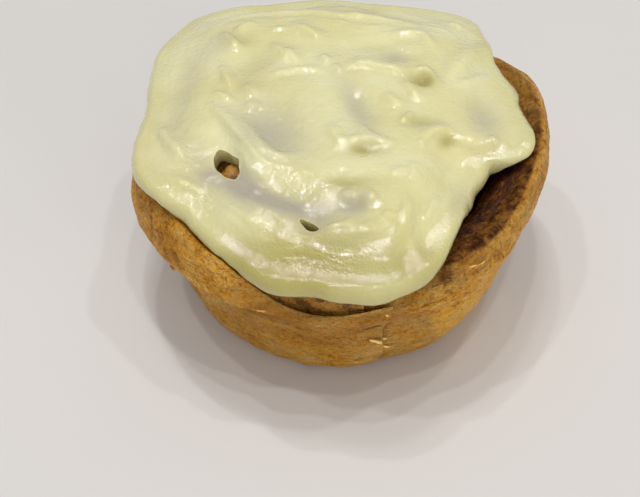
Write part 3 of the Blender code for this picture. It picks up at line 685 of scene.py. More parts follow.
def rough(seed, *places, layers=3):
    """Sum of noise at doubling fineness and halving height."""
    total = sum(noise(seed + k, *[p * 2 ** k for p in places]) / 2 ** k for k in range(layers))
    return total / (2 - 0.5 ** (layers - 1))


def streaks(x, y, marks):
    """Sum of long soft-edged marks, each x, y, length, width, direction and height: bell curves
    along and across. Millimetres in and out."""
    total = np.zeros_like(x)
    for mx, my, length, width, side, height in marks:
        along, across = turned(x - mx, y - my, -side)
        total += height * np.exp(-(2 * along / length) ** 2 - (2 * across / width) ** 2)
    return total


def smooth_path(points):
    """Points along a smooth curve through the given ones (Catmull-Rom)."""
    points = np.array(points, float)
    if len(points) == 2:
        return points
    ends = np.concatenate([2 * points[:1] - points[1:2], points, 2 * points[-1:] - points[-2:-1]])
    x = np.arange(CURVE_STEPS)[None, :, None] / CURVE_STEPS
    a, b, c, d = (ends[k:len(ends) - 3 + k, None] for k in range(4))
    curve = 0.5 * (2 * b + (c - a) * x + (2 * a - 5 * b + 4 * c - d) * x ** 2
                   + (3 * b - a - 3 * c + d) * x ** 3)
    return np.concatenate([curve.reshape(-1, 2), points[-1:]])


def along_path(x, y, left, right, path, fade):
    """Bell curve of the distance from a path, as wide as left or right on that side of it, with a
    shallow trough beside it, fading out at both ends."""
    line = smooth_path(path)
    reach = 4.6 * max(left, right)
    near = np.all([x > line[:, 0].min() - reach, x < line[:, 0].max() + reach,
                   y > line[:, 1].min() - reach, y < line[:, 1].max() + reach], axis=0)
    px, py = x[near][:, None], y[near][:, None]
    start, step = line[:-1], np.diff(line, axis=0)
    length = np.hypot(*step.T)
    share = ((px - start[:, 0]) * step[:, 0] + (py - start[:, 1]) * step[:, 1]) / length ** 2
    share = np.clip(share, 0, 1)
    off_x, off_y = px - start[:, 0] - share * step[:, 0], py - start[:, 1] - share * step[:, 1]
    apart = np.hypot(off_x, off_y)
    nearest = np.argmin(apart, axis=1)[:, None]
    pick = [np.take_along_axis(a, nearest, axis=1)[:, 0] for a in (apart, share, off_x, off_y)]
    step, length_there = step[nearest[:, 0]], length[nearest[:, 0]]
    side = step[:, 0] * pick[3] - step[:, 1] * pick[2]
    width = np.where(side > 0, left, right)
    before = np.concatenate([[0], np.cumsum(length)])[nearest[:, 0]]
    gone = (before + pick[1] * length_there) / length.sum()
    found = np.zeros_like(x)
    bell = 1.2 * np.exp(-(pick[0] / width) ** 2) - 0.2 * np.exp(-(pick[0] / (2 * width)) ** 2)
    found[near] = bell * ease(gone / fade) * ease((1 - gone) / fade)
    return found


# ---------------------------------------------------------------- meshes

def numbered(grid):
    """Numbers of a grid's points, row by row."""
    return np.arange(grid[..., 0].size).reshape(grid.shape[:2])


def quads(index):
    """Four-cornered faces between neighbouring points of a grid of numbers whose rows are rings."""
    index = np.concatenate([index, index[:, :1]], axis=1)
    return np.stack([index[:-1, :-1], index[1:, :-1], index[1:, 1:], index[:-1, 1:]],
                    axis=-1).reshape(-1, 4)


def fan(loop, middle):
    """Triangles from each edge of a closed loop to one point."""
    return np.stack([loop, np.roll(loop, -1), np.full(len(loop), middle)], axis=-1)


def capped(index, below, above):
    """Faces of a surface made of rings, closed by a fan to one point at each end."""
    return [quads(index), fan(index[0, ::-1], below), fan(index[-1], above)]


def linked(name, data):
    """A new object in the scene."""
    made = bpy.data.objects.new(name, data)
    bpy.context.scene.collection.objects.link(made)
    return made


def turned(along, across, degrees):
    """A flat vector turned anticlockwise."""
    c, s = math.cos(math.radians(degrees)), math.sin(math.radians(degrees))
    return along * c - across * s, along * s + across * c


def new_piece(name, points, faces, material, replaced=None, uv=None, marks=None):
    """An object from points and arrays of faces, turned outwards, with its UV map and its marks."""
    mesh = bpy.data.meshes.new(name)
    mesh.from_pydata(points.tolist(), [], [face for group in faces for face in group.tolist()])
    mesh.validate()
    for key, values in (marks or {}).items():
        mesh.attributes.new(key, "FLOAT", "POINT").data.foreach_set("value", values.astype(np.float32))
    if uv is not None:
        corner = np.empty(len(mesh.loops), dtype=np.int32)
        mesh.loops.foreach_get("vertex_index", corner)
        mesh.uv_layers.new(name="along").data.foreach_set("uv", uv[corner].astype(np.float32).ravel())
    mesh.shade_smooth()
    mesh.set_sharp_from_angle(angle=SHARP_EDGE)
    mesh.materials.append(material)
    piece = linked(name, mesh)
    face_outwards(piece)
    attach(piece, BODY)
    if replaced:
        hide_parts(replaced)
    return piece


def face_outwards(piece):
    """Turns every face of each closed surface in the mesh outwards."""
    work = bmesh.new()
    work.from_mesh(piece.data)
    bmesh.ops.recalc_face_normals(work, faces=work.faces)
    work.to_mesh(piece.data)
    work.free()


def normals_of(grid):
    """Unit normals, outwards, of the strip's grid of points, from its rows and columns."""
    normal = np.cross(np.gradient(grid, axis=1), np.gradient(grid, axis=0))
    return normal / np.maximum(np.linalg.norm(normal, axis=-1, keepdims=True), 1e-12)


# ---------------------------------------------------------------- dough

def stations():
    """Values of s along the strip: fine on the outer turn and by the breaks, coarse inside."""
    found = [0.0]
    while found[-1] < GROOVE_TURNS:
        s = found[-1]
        step = OUTER_STEP if s < 1 else BESIDE_HOLE_STEP if s < BESIDE_HOLE_TURNS else INNER_STEP
        radius = float(outer_face(np.array(s), STATION_HEIGHT))
        found.append(s + step / (FULL_TURN * radius))
    return np.array(found) * (GROOVE_TURNS / found[-1])


def strip_outline(s):
    """Radius, height and path length of the strip's outline at each station: rounded corner, wall,
    top, inside, and back under. Also each row's share of its part, and which part it is."""
    s = s[:, None]
    shoulder, valley = shoulder_height(s), valley_height(s)
    turn = np.linspace(0, math.pi / 2, CORNER_ROWS, endpoint=False)
    low = np.broadcast_to(CORNER_HEIGHT * (1 - np.cos(turn)), (len(s), CORNER_ROWS))
    high = CORNER_HEIGHT + (shoulder - CORNER_HEIGHT) * np.linspace(0, 1, WALL_ROWS, endpoint=False)
    outside = np.concatenate([low, high], axis=1)
    w = np.linspace(0, 1, TOP_ROWS + 1)[None, :]
    top_r, top_z = top_curve(s, w)
    inside = valley * (1 - np.linspace(0, 1, INSIDE_ROWS + 1)[1:])
    sole = np.linspace(0, 1, SOLE_ROWS + 1)[1:-1]
    sole_r = inner_face(s, 0.0) + (outer_face(s, 0.0) - inner_face(s, 0.0)) * sole
    r = np.concatenate([outer_face(s, outside), top_r, inner_face(s, inside), sole_r], axis=1)
    z = np.concatenate([outside, top_z, inside, np.zeros_like(sole_r)], axis=1)
    steps = [np.diff(a, axis=1, prepend=a[:, :1]) for a in (r, z)]
    length = np.cumsum(np.hypot(*steps), axis=1)
    parts = np.repeat([WALL, TOP, INSIDE, SOLE],
                      [outside.shape[1], TOP_ROWS + 1, INSIDE_ROWS, SOLE_ROWS - 1])
    across = np.concatenate([np.zeros(outside.shape[1]), w[0], np.ones(INSIDE_ROWS + SOLE_ROWS - 1)])
    return r, z, length, parts, across


def crust_relief(arc, z, angle, sizes):
    """Height of the crust's relief and how porous it is, in millimetres: broad lumps, fibres drawn
    out along the strip, pores where it swelled over the tin, cracks and broken pits."""
    porous = facing(angle, -148, 66) * ease((z - 25.5) / 3) + 0.3 * ease((z - 27) / 4)
    porous = np.clip(porous, 0, 1)
    slant = z + 0.06 * arc + 1.4 * noise(16, arc / 10, z / 6)
    fibres = 0.55 * noise(11, arc / 4.5, slant / 1.5) + 0.45 * noise(12, arc / 2.2, slant / 0.8)
    pores = np.clip(rough(14, arc / 1.5, z / 1.3, layers=2) - 0.25, 0, 1) / 0.5
    crumple = rough(15, arc / 3.2, slant / 2.6, layers=4)
    folds = 1 - np.abs(noise(17, arc / 9, slant / 3.4)) * 2.2
    total = (0.40 * noise(13, arc / 12, z / 8) + 0.22 * np.clip(folds, 0, 1)
             + sizes.fibre_depth / MM * fibres
             + sizes.crumple_depth / MM * crumple * (0.7 + 0.3 * porous)
             - sizes.pore_depth / MM * pores * porous)

    def arc_from(side):
        return ((np.degrees(angle) - side + 180) % 360 - 180) * ARC_PER_DEGREE

    for deep, above, below, path in CRUST_CRACKS:
        middle = np.mean([p[0] for p in path])
        line = [((side - middle) * ARC_PER_DEGREE, up) for side, up in path]
        total -= deep * along_path(arc_from(middle), z, above, below, line, CRACK_FADE)
    for side, up, radius, deep in CRUST_PITS:
        across = arc_from(side)
        near = np.hypot(across * (1 + 0.3 * noise(18, arc, z)), z - up) / radius
        total -= deep * np.exp(-near ** 4)
    return total, porous


def dough_marks(s, z, angle, parts, across, relief, porous, icing_edge, grid):
    """Marks from 0 to 1: browned crust with painted shade in its hollows, under the swollen band and
    beside the loose end; golden, greyish and pale crust, the pale with painted highlights on raised crags
    and the open rim's crest; cinnamon stains; and painted shade under the icing's edge.
    """
    arc = arc_of(s)
    outer = s < 1
    wall, top = parts == WALL, parts == TOP
    cloudy = noise(31, arc / 7, z / 4) * 0.5 + noise(32, arc / 3, z / 2) * 0.3
    # Painted shade: darker in the hollows of the crust's relief.
    painted_cavity_shade = np.clip((-relief - 0.15) / 0.75, 0, 1)
    rim = np.where(top, ease(across / 0.3) * (1 - ease((across - 0.62) / 0.2)), 0)
    # Browned at random and along the rim of the top, with the painted shade in the hollows.
    toast_and_shade = 0.75 * painted_cavity_shade + 0.30 * np.clip(cloudy, 0, 1) + 0.25 * rim * (0.6 + cloudy)
    # Darker towards the bottom of the wall.
    toast_and_shade = toast_and_shade + 0.30 * ease(1 - z / 2.0) * wall
    # Painted shadow: a dark line on the wall just before the loose end that overlaps it.
    toast_and_shade = toast_and_shade + 0.6 * np.exp(-((1 - s) / 0.007) ** 2) * wall * (0.8 + cloudy)
    # Painted shade under the swollen band, along the crease.
    painted_shade_under_bulge = facing(angle, -150, 62) * np.exp(-((z - 23.6) / 1.1) ** 2)
    golden = ease((24.5 - z) / 3) * (0.85 + 0.4 * cloudy)
    golden = golden + 0.35 * np.clip(noise(33, arc / 12, z / 7), 0, 1)
    golden = golden * (1 - 0.75 * facing(angle, -98, 34) * ease((z - 14) / 5))
    greyish = facing(angle, -102, 42) * ease((z - 14) / 5) * ease((37 - z) / 4) * (0.75 + 0.6 * cloudy)
    greyish = greyish + 0.45 * porous * np.clip(noise(34, arc / 4, z / 3) + 0.25, 0, 1)
    pale = facing(angle, -63, 11) * ease((z - 34.5) / 1.5) * ease((41 - z) / 2) * (0.6 + cloudy)
    lip = np.exp(-((across - 0.46) / 0.16) ** 2) * top * (1 - ease((s - 0.07) / 0.05))
    # Painted highlight: lighter on the raised crags of the relief.
    painted_crag_highlight = 0.5 * np.clip((relief - 0.12) / 0.6, 0, 1) * (0.7 + cloudy)
    torn = np.exp(-(s / 0.009) ** 2) * wall * (0.7 + cloudy)
    # Painted highlight along the crest of the open rim.
    painted_rim_highlight = 0.6 * openness(s) * np.exp(-((across - 0.2) / 0.12) ** 2) * top * (0.8 + cloudy)
    # Pale torn edges and lip, plus the painted highlights.
    pale = pale + 1.4 * lip + painted_crag_highlight + torn + painted_rim_highlight
    toast_and_shade = toast_and_shade * (1 - 0.8 * lip)
    stain = np.where(top & outer, openness(s) ** 0.6 * ease((across - 0.36 - 0.06 * cloudy) / 0.10), 0)
    behind = np.where(outer, ease((s - 0.80) / 0.12) * ease((across - 0.02) / 0.15) * top, 0)
    stain = np.clip(stain + 0.35 * behind * (1 + 0.8 * cloudy), 0, 1)
    stain = np.where(s >= 1, np.where(wall, ease((s - 1.03) / 0.03), 0.35), stain)
    stain = np.where(parts == INSIDE, 1.0, stain)
    for x, y, long_radius, _, _ in ICING_HOLES:
        there = np.hypot(grid[..., 0] / MM - x, grid[..., 1] / MM - y) / (1.3 * long_radius)
        stain = np.maximum(stain, 0.8 * np.exp(-there ** 4))
    return {
        "toast_and_shade": np.clip(toast_and_shade + painted_shade_under_bulge, 0, 1),
        "golden": np.clip(golden, 0, 1) * outer,
        "greyish": np.clip(greyish, 0, 1) * outer,
        "pale": np.clip(pale, 0, 1) * outer,
        "cinnamon": stain,
        # Painted shade under the icing's edge.
        "shaded": np.exp(-np.clip(icing_edge, 0, None) / 1.2) * outer,
    }


def dough_surface(sizes):
    """The rolled strip: its outline carried along the spiral, moved along its normals by the
    crust's relief. The solid core inside the last groove closes it with two fans."""
    s = stations()
    r, z, length, parts, across = strip_outline(s)
    wall, top = parts == WALL, parts == TOP
    feathered = 1 - ease(s[:, None] / FEATHER_TURNS)
    r = r - FEATHER * feathered * np.where(wall, 1, np.where(top, 1 - ease(across / 0.4), 0))
    places = s[:, None] + np.zeros_like(r)
    angle = angle_of(places)
    arc = arc_of(places)
    up = z / MM
    ragged = sum(noise(seed, up / wave, up * 0) * size for seed, wave, size in RAGGED_WAVES)
    angle = angle + ragged * (1 - ease(places / RAGGED_TURNS)) * (parts != SOLE) * ease(up / 2)
    grid = polar(r, angle, z)
    relief, porous = crust_relief(arc, up, angle, sizes)
    reach = through(ICING_REACH, angle)
    edge = (r - reach) / MM
    outer = places < 1
    room = np.where(wall, ease(up / 2.5), np.where(top, 1.0, 0.0))
    open_air = np.where(top & (edge < 2), 0.35, 1.0)
    under_filling = np.where(top & (across > 0.55), 0.4, 1.0)
    hidden = np.where(outer, 1.0, np.where(top, 0.25, 0.0))
    tucked = 1 - underlap(places) * wall
    thin = np.where(relief < 0, 0.1 + 0.9 * ease(places / 0.12), 0.3 + 0.7 * ease(places / 0.05))
    moved = relief * room * open_air * under_filling * hidden * thin * np.where(outer, tucked, 1.0)
    grid = grid + normals_of(grid) * moved[..., None] * MM
    marks = dough_marks(places, up, angle, parts, across, moved, porous, edge, grid)
    uv = np.stack([arc * MM, length], axis=-1)

    index = numbered(grid)
    count, last = index.size, index[-1]
    core = np.linspace(GROOVE_TURNS, GROOVE_TURNS + 1, CORE_COLUMNS + 1)[1:]
    foot_row = polar(outer_face(core, 0.0), angle_of(core), 0.0)
    head_row = polar(outer_face(core, shoulder_height(core)), angle_of(core), shoulder_height(core))
    feet = count + np.arange(CORE_COLUMNS)
    heads = feet + CORE_COLUMNS
    out_top = CORNER_ROWS + WALL_ROWS
    in_top = out_top + TOP_ROWS
    in_foot = in_top + INSIDE_ROWS
    faces = [
        quads(index), index[:1, ::-1],
        np.stack([feet[:-1], feet[1:], heads[1:], heads[:-1]], axis=-1),
        np.concatenate([last[:out_top + 1], heads[:1], feet[:1]])[None, ::-1],
        np.concatenate([feet[-1:], heads[-1:], last[in_top:in_foot + 1]])[None, ::-1],
    ]
    upper = np.concatenate([last[out_top:out_top + 1], heads, last[out_top + 1:in_top + 1][::-1]])
    lower = np.concatenate([last[:1], feet, last[in_foot:]])
    flat = np.concatenate([grid.reshape(-1, 3), foot_row, head_row])
    for loop, height in ((upper, dome(0.0) - CREST_BELOW_DOME), (lower, 0.0)):
        centre = np.append(np.mean(head_row, axis=0)[:2], height)
        ring = len(flat) + np.arange(len(loop))
        flat = np.concatenate([flat, (flat[loop] + centre) / 2, centre[None]])
        faces += [np.stack([loop, np.roll(loop, -1), np.roll(ring, -1), ring], axis=-1),
                  fan(ring, len(flat) - 1)]
    extra = np.zeros(len(flat) - count)
    marks = {key: np.append(value, extra) for key, value in marks.items()}
    return flat, faces, np.append(uv.reshape(-1, 2), np.stack([extra, extra], axis=-1), axis=0), marks


# ---------------------------------------------------------------- filling

def filling_surface(sizes):
    """The cinnamon layer: up the groove, out over the open slope, back, and over the shoulder of
    the turn inside it, with a wavering edge and a grainy face."""
    s = stations()
    s = np.array([FILLING_START, *s[(s > FILLING_START) & (s < FILLING_END)], FILLING_END])[:, None]
    arc = arc_of(s)
    waver = 1 + 0.16 * noise(41, arc / 5, arc * 0) + 0.08 * noise(42, arc / 1.6, arc * 0)
    share = np.linspace(0, 1, SMEAR_ROWS + 1)[None, :]
    slope = 1 - 0.5 * slope_share(s) * np.minimum(waver, 1.12) * share
    shoulder = 0.5 * behind_share(s) * np.minimum(waver, 1.12) * share
    low = np.linspace(0, 1, FILLING_SIDE_ROWS, endpoint=False)[None, :]
    heights = FILLING_SOLE + (valley_height(s) - FILLING_SOLE) * low
    grain = rough(43, arc / 1.8, share * 16, layers=3)
    edge = 1 - 0.9 * ease((share - 0.5) / 0.5)
    deep = sizes.grain_depth * grain * ease(share / 0.2)

    fill = FILL_RISE * np.maximum(1 - ease(s / FILL_TURNS), bump(s, FILL_UNDER_BREAK, FILL_BREAK_TURNS))
    fill = fill * (1 - ease(share / 0.55))
    sunk = GAP * (1 - 1.25 * ease((share - 0.55) / 0.45))

    def face(strip, w):
        thick = smear_lift(s, strip, w) - GAP
        face_r, face_z = off_top(strip, w, sunk + np.maximum(thick * 0.75 * edge
                                                             + deep * (thick > 0.5 * MM), 0.1 * MM))
        return face_r, face_z + fill

    outer_r, outer_z = inner_face(s, heights) - GAP, heights
    inner_r, inner_z = outer_face(s + 1, heights) + GAP, heights
    slope_r, slope_z = off_top(s, slope, sunk)
    face_r, face_z = face(s, slope)
    back_r, back_z = face(s + 1, shoulder)
    under_r, under_z = off_top(s + 1, shoulder, sunk)
    r = np.concatenate([outer_r, slope_r, face_r[:, :0:-1], back_r[:, 1:], under_r[:, ::-1],
                        inner_r[:, ::-1]], axis=1)
    z = np.concatenate([outer_z, slope_z, face_z[:, :0:-1], back_z[:, 1:], under_z[:, ::-1],
                        inner_z[:, ::-1]], axis=1)
    grid = polar(r, angle_of(s), z)
    index = numbered(grid)
    toffee = np.repeat(1 - ease((s - 0.02) / 0.2), grid.shape[1], axis=1)
    return (grid.reshape(-1, 3), [quads(index), index[:1, ::-1], index[-1:]],
            {"toffee": toffee.ravel()})


# ---------------------------------------------------------------- icing

def icing_detail(x, y, inset, angle, sizes):
    """Dips, spoon ridges, fine parallel streaks that follow the edge, lumps and grain, in
    millimetres, at points x, y that lie inset from the edge."""
    total = streaks(x, y, ICING_DIPS)
    for height, left, right, path in ICING_RIDGES:
        stretch = (RIDGE_GENTLE, RIDGE_STEEP) if left >= right else (RIDGE_STEEP, RIDGE_GENTLE)
        total += sizes.ridge_share * height * along_path(x, y, left * stretch[0], right * stretch[1],
                                                         path, RIDGE_FADE)
    around = (5.0 * np.cos(angle), 5.0 * np.sin(angle))
    band = ease((inset - 1.5) / 3) * ease((17 - inset) / 7)
    strong = 0.35 + 0.9 * facing(angle, -108, 62) + 0.55 * facing(angle, 100, 80)
    wander = 1.2 * noise(51, x / 9, y / 9)
    lines = noise(52, (inset + wander) / 1.15, *around) + 0.5 * noise(53, (inset + wander) / 0.6, *around)
    total += sizes.streak_depth / MM * lines * band * strong
    total += sizes.lump_depth / MM * (noise(54, x / 8.5, y / 8.5) + 0.45 * noise(55, x / 4.2, y / 4.2)
                                      + 0.28 * noise(56, x / 2.1, y / 2.1))
    total += 0.035 * noise(57, x / 0.95, y / 0.95)
    return total


def settled(values, spread):
    """Values round the roll, each the average of its neighbours under a bell curve."""
    off = np.arange(-24, 25)
    weight = np.exp(-0.5 * (off * (360 / len(values)) / spread) ** 2)
    return sum(w * np.roll(values, k) for w, k in zip(weight / weight.sum(), off))


def edge_fall(angle, reach):
    """How far the icing comes down at its edge, evened out round the roll."""
    return settled(np.clip(icing_level(reach) - rest_height(reach, angle, reach), 0, MOST_EDGE_FALL),
                   EDGE_FALL_SPREAD)


def sag(r, angle):
    """How far the icing droops where it overhangs the wall."""
    first = first_turn(angle)
    over = r - outer_face(first, SAG_HEIGHT)
    return SAG_SLOPE * (np.hypot(np.maximum(over, 0), SAG_SOFTNESS) - SAG_SOFTNESS)


def even_top(r, angle, reach, fall):
    """Height of the icing's top without its marks: even over the roll, then down to its edge."""
    even = icing_level(r) - fall * (1 - ease((reach - r) / EDGE_FALL_REACH))
    edge = ease((reach - r) / EDGE_SLOPE_REACH)
    heaped = BACK_RISE * facing(angle, BACK_SIDE, BACK_SPAN) * (r / reach) ** 2
    return (even + ICING_EDGE_THICKNESS + (ICING_THICKNESS - ICING_EDGE_THICKNESS) * edge + heaped
            - SAG_SHARE * sag(r, angle))


def underside(r, angle, reach, fall):
    """Height of the icing's underside: it rests on the roll, but hangs free near an edge that
    bridges a hollow, so that its edge is never deeper than it would stand."""
    least = even_top(r, angle, reach, fall) - MOST_EDGE_DEPTH - UNDER_SLOPE * np.maximum(reach - r, 0)
    return np.maximum(rest_height(r, angle, reach), least) - sag(r, angle)


def icing_top(r, angle, reach, fall, sizes):
    """Height of the icing's top with its marks, which fade towards the edge."""
    x, y = r * np.cos(angle) / MM, r * np.sin(angle) / MM
    detail = icing_detail(x, y, (reach - r) / MM, angle, sizes) * MM
    kept = EDGE_DETAIL + (1 - EDGE_DETAIL) * ease((reach - r) / DETAIL_REACH)
    return np.maximum(even_top(r, angle, reach, fall) + detail * kept,
                      underside(r, angle, reach, fall) + ICING_LEAST)


def icing_surface(sizes):
    """The icing: rings of points under it, round its bulging edge and over its top, each a radius
    and a height as functions of direction, closed by a fan below and one above."""
    angle = np.arange(ICING_SECTORS) * FULL_TURN / ICING_SECTORS
    reach = through(ICING_REACH, angle)
    around = (np.cos(angle), np.sin(angle))
    reach = reach + sum(size * noise(seed, fine * around[0], fine * around[1])
                        for seed, fine, size in EDGE_WAVES)
    fall = edge_fall(angle, reach)
    inner = reach - ICING_UNDER_INSET
    under = [inner * k for k in ICING_UNDER_SHARES]
    under += [reach - ICING_UNDER_INSET * k for k in np.linspace(1, 0, ICING_UNDER_ROWS)]
    rows = [(r, underside(r, angle, reach, fall)) for r in under]
    low, high = settled(rows[-1][1], EDGE_SPREAD), icing_top(reach, angle, reach, fall, sizes)
    bulge = ICING_BULGE * (1 + 0.18 * noise(63, 9 * around[0], 9 * around[1]))
    turns = np.linspace(-math.pi / 2, math.pi / 2, ICING_EDGE_ROWS + 1)[1:-1]
    for turn in turns:
        r = reach + bulge * math.cos(turn)
        z = low + (high - low) * (1 + math.sin(turn)) / 2
        rows.append((r, np.maximum(z, underside(r, angle, reach, fall))))
    share = np.linspace(1, 0, ICING_RINGS + 1)[:-1, None]
    tops = icing_top(reach * share, angle + 0 * share, reach + 0 * share, fall, sizes)
    rows += list(zip(reach * share, tops))
    r, z = (np.stack([row[k] for row in rows]) for k in (0, 1))
    grid = polar(r, angle[None, :], z)
    middle = (np.zeros(1), np.zeros(1), reach[:1])
    points = np.concatenate([grid.reshape(-1, 3), [[0, 0, underside(*middle, fall[:1])[0]]],
                             [[0, 0, icing_top(*middle, fall[:1], sizes)[0]]]])
    faces = capped(numbered(grid), r.size, r.size + 1)
    x, y = points[:, 0] / MM, points[:, 1] / MM
    inset = ((reach - r) / MM)[len(under):]
    over = np.concatenate([np.zeros(len(under)), (1 + np.sin(turns)) / 2, np.ones(ICING_RINGS)])
    # Painted shade: deeper, darker yellow on the lower part of the bulging edge and near the edge on top.
    brim_shade = np.zeros_like(r)
    brim_shade[len(under):] = (1 - ease((inset + 1.5) / 6)) * (1 - 0.75 * over[len(under):, None])
    top = np.append(np.repeat(over, ICING_SECTORS), [0, 1])
    return points, faces, {
        "thin": np.clip(streaks(x, y, THIN_PLACES), 0, 1) * top,
        "deep": np.clip(streaks(x, y, DEEP_AND_SHADED_PLACES) * top + np.append(brim_shade.ravel(), [0, 0]), 0, 1),
    }


def break_through(piece):
    """Cuts the breaks in the icing with slanting, slightly uneven oval columns."""
    for number, (x, y, long_radius, short_radius, side) in enumerate(ICING_HOLES):
        turn = np.arange(HOLE_SIDES) * FULL_TURN / HOLE_SIDES
        wobble = 1 + HOLE_WAVER * noise(71 + number, 2 * np.cos(turn) + 9, 2 * np.sin(turn) + 9)
        oval = turned(long_radius * wobble * np.cos(turn), short_radius * wobble * np.sin(turn), side)
        oval, centre = np.stack(oval, axis=-1) * MM, np.array([x, y]) * MM
        ends = []
        for k in (-1, 1):
            height = DOME_HEIGHT + k * HOLE_HEIGHT / 2
            slant = np.array([0, (HOLE_TOP_HEIGHT - height) * HOLE_SLANT])
            plan = centre + oval * (1 + k * HOLE_FLARE) + slant
            ends.append(np.column_stack([plan, np.full(HOLE_SIDES, height)]))
        index = np.arange(2 * HOLE_SIDES).reshape(2, HOLE_SIDES)
        mesh = bpy.data.meshes.new("column")
        faces = [*quads(index)[:, ::-1].tolist(), index[0, ::-1].tolist(), index[1].tolist()]
        mesh.from_pydata(np.concatenate(ends).tolist(), [], faces)
        column = linked("column", mesh)
        face_outwards(column)
        cut = piece.modifiers.new("break", "BOOLEAN")
        cut.operation, cut.object, cut.solver = "DIFFERENCE", column, "MANIFOLD"
        bpy.context.view_layer.update()
        before = piece.data
        evaluated = piece.evaluated_get(bpy.context.evaluated_depsgraph_get())
        piece.data = bpy.data.meshes.new_from_object(evaluated)
        piece.data.name = piece.name
        piece.modifiers.clear()
        bpy.data.objects.remove(column)
        bpy.data.meshes.remove(mesh)
        bpy.data.meshes.remove(before)
    piece.data.set_sharp_from_angle(angle=SHARP_EDGE)


# ---------------------------------------------------------------- flakes

def flake_surface(side, up, length, width, turn, curl, dish, number):
    """A curled sliver of crust: a flat oval section carried along a line on the wall. It lifts off
    with the square of the distance from its held end, and its sides dish up; its outline wavers."""
    u = np.linspace(-1, 1, FLAKE_SPANS)[1:-1, None]
    a = np.arange(FLAKE_SIDES)[None, :] * FULL_TURN / FLAKE_SIDES
    spread = np.sqrt(1 - u ** 2) ** 0.7 * (1 + 0.16 * noise(81 + number, u * 3, a * 0))
    v = np.cos(a) * spread + 0 * u
    held = (u + 1) / 2
    lift = FLAKE_LIFT + curl * held ** 2 + dish * v ** 2
    lift = lift + FLAKE_THICKNESS * (0.5 + 0.5 * np.sin(a) * np.sqrt(np.maximum(1 - u ** 4, 0))
                                     + 0.25 * noise(91 + number, u * 3, v * 2))

    def placed(u, v, lift):
        across, rise = turned(u * length / 2, v * width / 2, turn)
        angle = math.radians(side) + across / WALL_ARC_RADIUS
        first = first_turn(angle)
        height = (up + rise) * MM
        top = ease((height - shoulder_height(first)) / (4 * MM))
        return polar(outer_face(first, height) + (lift - FLAKE_TUCK * top) * MM, angle, height)

    ends = np.array([FLAKE_LIFT, FLAKE_LIFT + curl]) + FLAKE_THICKNESS / 2
    tips = placed(np.array([-1.0, 1.0]), np.zeros(2), ends)
    grid = placed(u + 0 * v, v, lift)
    index = numbered(grid)
    points = np.concatenate([grid.reshape(-1, 3), tips])
    return points, capped(index, len(points) - 2, len(points) - 1)


def crumb_surface():
    """Lumps of filling: spheres stretched to three radii, their radius wavering with noise."""
    side = np.arange(CRUMB_SIDES)[None, :] * FULL_TURN / CRUMB_SIDES
    up = np.linspace(-math.pi / 2, math.pi / 2, CRUMB_ROWS)[1:-1, None]
    ball = polar(np.cos(up), side, np.sin(up))
    points, faces = [], []
    for number, (x, y, z, *radii) in enumerate(CRUMBS):
        shape = ball * (1 + 0.22 * rough(101 + number, *np.moveaxis(ball * 2.2 + 7, -1, 0))[..., None])
        grid = (np.array([x, y, z]) + shape * np.array(radii)) * MM
        ends = (np.array([x, y, z]) + np.array([[0, 0, -radii[2]], [0, 0, radii[2]]])) * MM
        index = numbered(grid)
        count = number * (index.size + 2)
        faces += [part + count for part in capped(index, index.size, index.size + 1)]
        points += [grid.reshape(-1, 3), ends]
    points = np.concatenate(points)
    return points, faces, {"toffee": np.full(len(points), 0.9)}


def all_flakes():
    """Every flake in one mesh, each with its own lightness."""
    points, faces, light, count = [], [], [], 0
    for number, (side, up, length, width, turn, curl, dish, lightness) in enumerate(FLAKES):
        found, parts = flake_surface(side, up, length, width, turn, curl, dish, number)
        points.append(found)
        faces += [part + count for part in parts]
        light.append(np.full(len(found), lightness))
        count += len(found)
    return np.concatenate(points), faces, {"light": np.concatenate(light)}


# ---------------------------------------------------------------- materials

